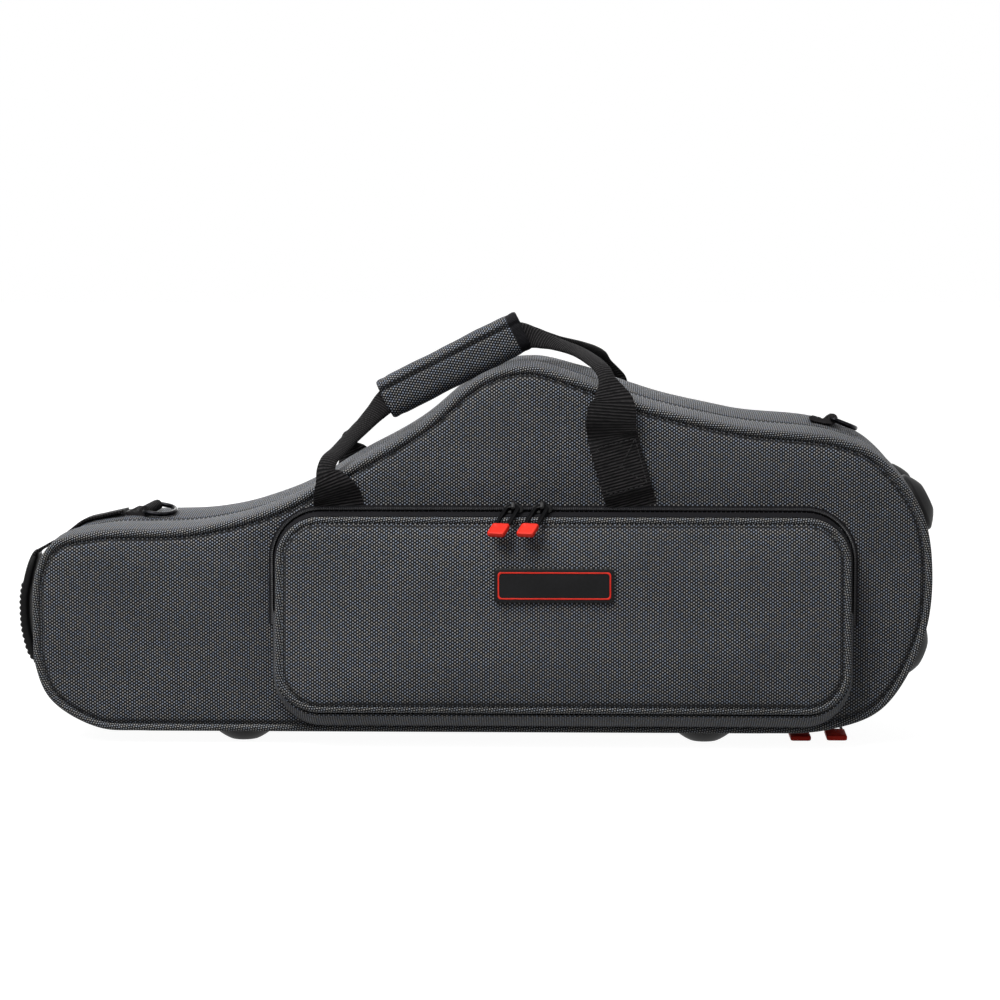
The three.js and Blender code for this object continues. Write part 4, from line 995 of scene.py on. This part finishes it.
def end_rows(points, width, thickness):
    """Rows of the end handle: each faces out of the curve, square to its neighbours' chord."""
    flat = points * (body_length, body_height) + (0, foot_height)
    ahead = np.gradient(flat, axis=0)
    facing = unit(np.stack([-ahead[:, 1], 0 * ahead[:, 0], ahead[:, 0]], 1))
    even = np.ones(len(flat))
    return np.column_stack([flat[:, 0], even * end_depth, flat[:, 1], facing,
                            even * width, even * thickness])


rows = end_rows(end_strap_shares, end_strap_width, end_strap_thickness)
piece("end_handle_webbing", [band(rows, 8, flatness=1.0)], [webbing], "base",
      ["end_handle_strap"])
rows = end_rows(end_strap_shares, end_grip_width, end_grip_thickness)[4:13]
dense, _ = curve_through(rows, 40, False)
at, facing = dense[:, :3], unit(dense[:, 3:6])
across = np.cross(facing, unit(np.gradient(at, axis=0)))
walked = walked_along(at)
end_way = np.minimum(walked, walked[-1] - walked)
taper = 1 - 0.3 * np.exp(-(end_way / 9.0) ** 1.5) - 0.12 * np.exp(-(end_way / 1.2) ** 1.5)
# Ribs stand proud on the outer half only, along the middle of the grip
rib = (0.5 + 0.5 * np.cos(2 * math.pi * walked / rib_pitch)) ** 0.6
rib = rib * ((at[:, 2] > ribbed_heights[0]) & (at[:, 2] < ribbed_heights[1]))
u, v = squared(circle(32), 0.55)
sideways = u * end_grip_width / 2 * taper[:, None]
outwards = v * (end_grip_thickness - rib_proud) / 2 + rib_proud * rib[:, None] * v.clip(0)
points = (at[:, None] + across[:, None] * sideways[..., None]
          + facing[:, None] * (outwards * taper[:, None])[..., None])
piece("end_handle_ribbed_grip", [grid(points, wrap=(False, True))], [black_rubber], "base",
      ["end_handle_grip"], sharp=60)

# ---------------------------------------------------------------------------------------------
# Feet and end bumpers. Moulded black rubber domes with a small flat, riveted through the shell:
# four under the case and four on its wide end.
# ---------------------------------------------------------------------------------------------
foot_radius, foot_flat, foot_setback = 25.0, 11.0, 32.0
bumper_radius, bumper_height, bumper_setback = 23.0, 8.0, 38.0


def placed(local, across, along, out, origin):
    """Turns local x, y and z into the three given directions about an origin."""
    return local[..., :1] * across + local[..., 1:2] * along + local[..., 2:3] * out + origin


def dome(radius, height):
    """A profile turned about its axis: flat in the middle, then the square of its radius grows
    evenly with its height up to a short skirt."""
    t = np.linspace(0, 1, 14) ** 1.6
    shoulder = np.stack([np.sqrt(foot_flat ** 2 + (radius ** 2 - foot_flat ** 2) * t),
                         height * t * 0.98], 1)
    dimple = np.array([[0, 1.1], [3.2, 1.1], [4.2, 0.9], [4.8, 0.15], [5.4, 0],
                       [foot_flat - 0.6, 0]])
    skirt = np.array([[radius + 0.4, height + 1.0], [radius + 0.4, height + 4.0],
                      [0, height + 4.0]])
    profile = np.vstack([dimple, shoulder, skirt])
    angle = circle(48)
    return np.stack([profile[:, :1] * np.cos(angle), profile[:, :1] * np.sin(angle),
                     np.broadcast_to(profile[:, 1:], (len(profile), len(angle)))], -1)


def surface_at(value, coordinate, y, crown, chosen):
    """The place and outward normal on a shell where a coordinate has a value, among the chosen
    columns: straight between the two nearest columns."""
    ring = skin(y, seam_inset, crown)[0]
    keep = np.nonzero(chosen)[0]
    order = keep[np.argsort(ring[keep, coordinate])]
    known = ring[order, coordinate]
    point, out = (np.array([np.interp(value, known, column) for column in rows[order].T])
                  for rows in (ring, normal))
    return point, unit(np.array([out[0], 0, out[1]]))


def rubber_dome(points, node, body):
    """A dome's piece, named for its node."""
    piece(f"rubber_{node}", [grid(points, wrap=(False, True))], [black_rubber], body, [node])


depthwise = np.array([0.0, 1, 0])
for name, side in sides.items():
    for hand, share in (("left", -0.269), ("right", 0.251)):
        origin = np.array([share * body_length, side["y"](foot_setback), 0.0])
        rubber_dome(placed(dome(foot_radius, foot_height), *np.eye(3), origin),
                    f"foot_{side['place']}_{hand}", name)
    for level, share in (("upper", 0.625), ("lower", 0.215)):
        spot, out = surface_at(share * body_height + foot_height, 2, side["y"](bumper_setback),
                               side["crown"], normal[:, 0] > 0.2)
        rubber_dome(placed(dome(bumper_radius, bumper_height), depthwise,
                           np.cross(depthwise, out), -out, spot + out * bumper_height),
                    f"bumper_{side['place']}_{level}", name)

# ---------------------------------------------------------------------------------------------
# Shoulder strap rings. Round black-plated steel wire bent to a D, held by a loop of webbing that
# is sewn flat on the rear shell's gusset.
# ---------------------------------------------------------------------------------------------
ring_wire, ring_width, ring_reach = 3.8, 32.0, 24.0
tab_width, tab_length, tab_thickness, tab_depth = 22.0, 17.0, 2.2, 112.0
plated_steel, tree, shader = finish_of("black_plated_steel", Metallic=1.0)
spot = add_node(tree, "TexCoord", out="Object")
worn = add_node(tree, "TexNoise", spot, Scale=220.0, Detail=4.0)
tint = add_node(tree, "MapRange", worn, 0.35, 0.75, **smooth_step)
dress(shader, add_node(tree, "Mix", tint, i6="#121214", i7="#2b2b2e", **colour_mix))
tree.links.new(add_node(tree, "MapRange", worn, 0.0, 1.0, 0.2, 0.36), shader.inputs["Roughness"])


def wire(path, half_across, half_up, turns, roundness=1.0):
    """Wire or flat bar round a closed level path: across × cosine + up × sine, each to the power
    of roundness, which makes the section squarer the less it is."""
    ahead = unit(np.roll(path, -1, 0) - np.roll(path, 1, 0))
    across = unit(np.cross([0, 0, 1.0], ahead))
    u, v = squared(circle(turns)[:, None, None], roundness)
    return path + across * u * half_across + np.cross(ahead, across) * v * half_up


# The ring's line: a straight side in the tab, two small bends and a bow
half, reach, bend = (ring_width - ring_wire) / 2, ring_reach - ring_wire, 3.0
bow = np.linspace(-math.pi / 2, math.pi / 2, 30)
straight = np.linspace(half - bend, bend - half, 10)
turn = np.linspace(0.3, math.pi / 2, 5)
near_bend = np.stack([bend - bend * np.cos(turn), bend - half - bend * np.sin(turn)], 1)
d_line = np.vstack([
    np.stack([0 * straight, straight], 1), near_bend,
    np.stack([reach - half * 0.92 * (1 - np.cos(bow)), half * np.sin(bow)], 1),
    near_bend[::-1] * (1, -1)])
ring_path = np.column_stack([d_line, np.zeros(len(d_line))])
# The tab's profile goes over the ring's wire, down to the cloth and back under it
tab_outer = ring_wire / 2 + 0.3 + tab_thickness
ring_lift = tab_outer + 0.3
ring_tilt = math.asin((ring_lift - ring_wire / 2 - 0.8) / reach)
t = np.linspace(-math.pi / 2, math.pi / 2, 15)
over = np.stack([np.cos(t) * tab_outer, np.sin(t) * tab_outer], 1)
tab_top = np.array([[-2, tab_outer - 0.4], [-4.2, tab_outer - 2.6], [-6.2, 3.1 - tab_outer],
                    [-8.5, 2.4 - tab_outer], [-tab_length, 2.3 - tab_outer],
                    [-tab_length - 0.7, 1.2 - tab_outer], [-tab_length, -tab_outer - 1.2]])
tab_under = np.array([[-12, -tab_outer - 1.2], [-6, -tab_outer - 1.0], [-2, -tab_outer]])
profile = np.vstack([over, tab_top, tab_under])
tab_across = np.concatenate([[-1, -0.985], np.linspace(-0.95, 0.95, 9), [0.985, 1]])
thin = np.concatenate([[0.9, 0.98], np.ones(9), [0.98, 0.9]]) ** 0.3
tab = np.stack(np.broadcast_arrays(profile[:, None, 0], tab_across * tab_width / 2,
                                   profile[:, None, 1] * thin), -1)
sewn = np.array([[-8.8, -8, 2.5 - tab_outer], [-8.8, 8, 2.5 - tab_outer],
                 [-15.4, 8, 2.5 - tab_outer], [-15.4, -8, 2.5 - tab_outer]])
# Share of the length, turn about the surface's normal and roll about its slope, in degrees
for hand, share, turn, roll in (("left", -0.392, 18.0, 9.0), ("right", 0.4018, 4.0, -2.0)):
    spot, out = surface_at(share * body_length, 0, tab_depth, sides["base"]["crown"] * 0.68,
                           normal[:, 1] > 0.2)
    origin, slope_there = spot + out * ring_lift, np.cross(depthwise, out)
    turn, roll = math.radians(turn), math.radians(roll)
    rolled = depthwise * math.cos(roll) + out * math.sin(roll)
    out = out * math.cos(roll) - depthwise * math.sin(roll)
    along = slope_there * math.cos(turn) - rolled * math.sin(turn)
    sideways = slope_there * math.sin(turn) + rolled * math.cos(turn)
    tilted_along = along * math.cos(ring_tilt) - out * math.sin(ring_tilt)
    tilted_out = out * math.cos(ring_tilt) + along * math.sin(ring_tilt)
    points = placed(wire(ring_path, ring_wire / 2, ring_wire / 2, 14),
                    tilted_along, sideways, tilted_out, origin)
    piece(f"strap_ring_{hand}", [grid(points, wrap=(True, True))], [plated_steel],
          f"d_ring_{hand}", [f"d_ring_{hand}"])
    points = placed(tab, along, sideways, out, origin)
    lie = laid(points.transpose(1, 0, 2), (False, True)).transpose(1, 0, 2)[..., ::-1]
    stitches = crossed_box(placed(sewn, along, sideways, out, origin), out, length=2.4, gap=0.8,
                           radius=0.35)
    piece(f"ring_tab_{hand}", [grid(points, lie, wrap=(True, False)), *stitches],
          [webbing, thread], "base", [f"d_ring_tab_{hand}"])

# ---------------------------------------------------------------------------------------------
# Zip sliders and pulls. Die-cast sliders in gloss black, each with a bridge that holds a black
# flat-bar frame; a red rubber tip is moulded on the frame's far end and left bare.
# ---------------------------------------------------------------------------------------------
slider_length, slider_width, slider_plate = 14.0, 8.0, 3.4
pull_wire, pull_play, bridge_wall, bridge_width = 2.2, 1.0, 1.4, 3.4
bridge_inner = pull_wire + 2 * pull_play
pocket_slider_tip = math.radians(38)
# The frame's outer width, its bar's width and thickness, and its length; then the tip's sizes
pulls = {"pocket": dict(outer=13.6, bar=3.5, flat=2.4, frame=27.4,
                        width=10.2, tip=13.6, thickness=4.0),
         "main": dict(outer=14.5, bar=2.2, flat=1.8, frame=37.0,
                      width=12.0, tip=22.0, thickness=4.0)}
black_enamel, tree, shader = finish_of("gloss_black_enamel", Roughness=0.32,
                                       Specular_IOR_Level=0.16)
spot = add_node(tree, "TexCoord", out="Object")
worn = add_node(tree, "TexNoise", spot, Scale=300.0, Detail=3.0)
worn = add_node(tree, "MapRange", worn, 0.45, 0.8, **smooth_step)
dress(shader, add_node(tree, "Mix", worn, i6="#040405", i7="#0e0e10", **colour_mix))


def slider_grids():
    """A tapered plate with rounded edges, and an arched bridge across it, both as closed grids."""
    taper = 0.7
    half = np.array([slider_length / 2, slider_width / 2])
    quarter = np.array([[1, taper], [taper, 1]])
    corners = np.vstack([quarter, quarter[::-1] * (-1, 1), -quarter, quarter[::-1] * (1, -1)])
    loop, _ = curve_through(corners * half, 4, True)
    insets = (0.5, 0.15, 0, 0, 0.2, 0.9)
    plate = slab([loop * (1 - i / half) for i in insets],
                 (0, 0.2, 0.6, slider_plate - 0.9, slider_plate - 0.3, slider_plate))
    top = slider_plate + bridge_inner + bridge_wall / 2
    span = half[1] * 0.9
    side_line = np.array([[span * 0.3, top], [span * 0.72, top - 0.3], [span * 0.98, top * 0.62],
                          [span, 1.2]])
    arch, _ = curve_through(np.vstack([side_line[::-1] * (-1, 1), side_line]), 5, False)
    path = np.column_stack([0 * arch[:, 0], arch])
    across = np.array([1.0, 0, 0])
    through = np.cross(unit(np.gradient(path, axis=0)), across)
    section = rounded_loop(bridge_width, bridge_wall, 0.5, 4)
    return plate, path + across * section[:, None, :1] + through * section[:, None, 1:]


def pull_grids(pull):
    """The frame's closed loop of flat bar, and the tip as a rounded slab with a shallow well."""
    far = -(pull["frame"] - pull_wire)
    loop = rounded_loop(pull["outer"] - pull["bar"], -far, 4.0, 9) + (0, far / 2)
    frame_path = np.column_stack([loop, np.zeros(len(loop))])
    frame_wire = wire(frame_path, pull["bar"] / 2, pull["flat"] / 2, 16, 0.5)
    width, long, thick = pull["width"] + pull["thickness"], pull["tip"], pull["thickness"]
    middle = -pull["frame"] - long / 2 + 2 * pull_wire
    insets, heights = (1.0, 0.35, 0, 0, 0.35, 1.0, 1.6, 2.0), (-5, -4.2, -2, 2, 4.2, 5, 5, 4.2)
    tip = slab([rounded_loop(width - 2 * i, long - 2 * i, 2.0 - i * 0.4) + (0, middle)
                for i in insets], [h * thick / 10 for h in heights])
    return frame_wire, tip


def turned(axis, angle):
    """A rotation about x (0) or z (2)."""
    c, s = math.cos(angle), math.sin(angle)
    if axis == 0:
        return np.array([[1, 0, 0], [0, c, -s], [0, s, c]])
    return np.array([[c, -s, 0], [s, c, 0], [0, 0, 1]])


# Where each slider's plate meets the zip
slider_at = {"pocket_left": (25.54, -2.6, 185.3), "pocket_right": (47.54, -2.6, 185.3),
             "main_left": (248.2, 77.0, 10.921), "main_right": (276.2, 77.0, 14.186)}
for label, origin in slider_at.items():
    kind, hand = label.split("_")
    pull = pulls[kind]
    origin = np.array(origin)
    if kind == "pocket":
        basis = np.array([[1, 0, 0], [0, 0, -1], [0, 1, 0]], float)
        height, swing, lean = slider_plate + bridge_inner / 2, math.radians(56), math.radians(21)
    else:
        basis = np.diag([-1.0, 1, -1])
        height, lean = slider_plate + bridge_inner - 0.3 - pull_wire / 2, 0.0
        drop = origin[2] - height - pull["thickness"] / 2 - 0.3
        swing = math.asin(drop / (pull["frame"] + pull["tip"]))
    hung = basis @ turned(0, -swing) @ turned(2, -lean)
    bar = origin + basis @ np.array([0, 0, height])
    if kind == "pocket":
        # The zip runs along the pocket's edge, so the slider faces half upwards about the bar
        basis = basis @ turned(0, -pocket_slider_tip)
        origin = bar - basis @ np.array([0, 0, height])
        # It hangs with its width level
        down = hung @ np.array([0, -1.0, 0])
        level = unit(np.cross([0, 0, 1.0], down))
        level *= math.copysign(1, level[0])
        hung = np.column_stack([level, -down, np.cross(level, -down)])
    plate, bridge = (points @ basis.T + origin for points in slider_grids())
    piece(f"{kind}_slider_cast_{hand}",
          [grid(plate, wrap=(False, True)), grid(bridge, wrap=(True, False))], [black_enamel],
          f"{kind}_slider_{hand}", [f"{kind}_slider_{hand}"], sharp=35)
    frame_wire, tip = (points @ hung.T + bar for points in pull_grids(pull))
    body = f"{kind}_pull_{hand}"
    piece(f"{kind}_pull_wire_{hand}", [grid(frame_wire, wrap=(True, True))], [black_enamel],
          body, [body])
    piece(f"{kind}_pull_red_tip_{hand}", [grid(tip, wrap=(False, True))], [red_rubber], body,
          [f"{kind}_pull_tip_{hand}"], sharp=35)

# ---------------------------------------------------------------------------------------------
# Studio. A plain white floor that keeps the case's soft shadow, large soft lamps from above and
# the front, and the camera where the photograph was taken from.
# ---------------------------------------------------------------------------------------------
def seen_directly(tree):
    """1 for what the camera sees straight, by a reflection or through glass, else 0."""
    camera_ray, glossy_ray, passed_ray = (
        add_node(tree, "LightPath", out=f"Is {ray} Ray")
        for ray in ("Camera", "Glossy", "Transmission"))
    bounced = add_node(tree, "Math", glossy_ray, passed_ray, operation="MAXIMUM")
    return add_node(tree, "Math", camera_ray, bounced, operation="MAXIMUM")


world = bpy.data.worlds.new("soft_white_room")
bpy.context.scene.world = world
world.use_nodes = True
tree = world.node_tree
ambient = 0.13
light = add_node(tree, "Math", seen_directly(tree), 1 - ambient, ambient, operation="MULTIPLY_ADD")
tree.nodes["Background"].inputs["Color"].default_value = (1, 1, 1, 1)
tree.links.new(light, tree.nodes["Background"].inputs["Strength"])

floor_white, tree, shader = finish_of("white_studio_floor", Roughness=0.9, Specular_IOR_Level=0.1)
shader.inputs["Base Color"].default_value = linear("#808080")
light = add_node(tree, "Math", seen_directly(tree), 0.95, operation="MULTIPLY")
light = add_node(tree, "Emission", Strength=light)
light = add_node(tree, "AddShader", shader.outputs[0], light)
tree.links.new(light, tree.nodes["Material Output"].inputs["Surface"])
span = 40.0
mesh = bpy.data.meshes.new("studio_floor")
mesh.from_pydata([(-span, -span, 0), (span, -span, 0), (span, span, 0), (-span, span, 0)], [],
                 [(0, 1, 2, 3)])
mesh.materials.append(floor_white)
floor = bpy.data.objects.new("studio_floor", mesh)
bpy.context.collection.objects.link(floor)

# Name, place, size in metres and watts; all look at a point over the floor's middle
target = Vector((0.0, 0.0, 0.15))
lamps = (("overhead", (-0.5, -0.7, 1.7), 1.1, 33.0), ("front_left", (-1.1, -1.7, 1.9), 1.2, 19.0),
         ("front_right", (1.2, -2.1, 1.3), 1.2, 4.0), ("rear", (-0.2, 2.1, 0.5), 1.5, 17.0))
for name, place, size, power in lamps:
    lamp = bpy.data.lights.new(name, "AREA")
    lamp.shape, lamp.size, lamp.energy = "SQUARE", size, power
    holder = bpy.data.objects.new(name, lamp)
    holder.location = place
    holder.rotation_euler = (target - Vector(place)).to_track_quat("-Z", "Y").to_euler()
    bpy.context.collection.objects.link(holder)

camera = bpy.data.cameras.new("photo_camera")
camera.lens, camera.sensor_width = 90.0, 36.0
eye_point = bpy.data.objects.new("photo_camera", camera)
eye_point.location = (0.07566, -1.97821, 0.356)
pitch, yaw = math.radians(5.0), math.radians(1.5)
gaze = Vector((-math.sin(yaw) * math.cos(pitch), math.cos(yaw) * math.cos(pitch),
               -math.sin(pitch)))
eye_point.rotation_euler = gaze.to_track_quat("-Z", "Y").to_euler()
bpy.context.collection.objects.link(eye_point)
bpy.context.scene.camera = eye_point
bpy.context.scene.view_settings.view_transform = "Standard"
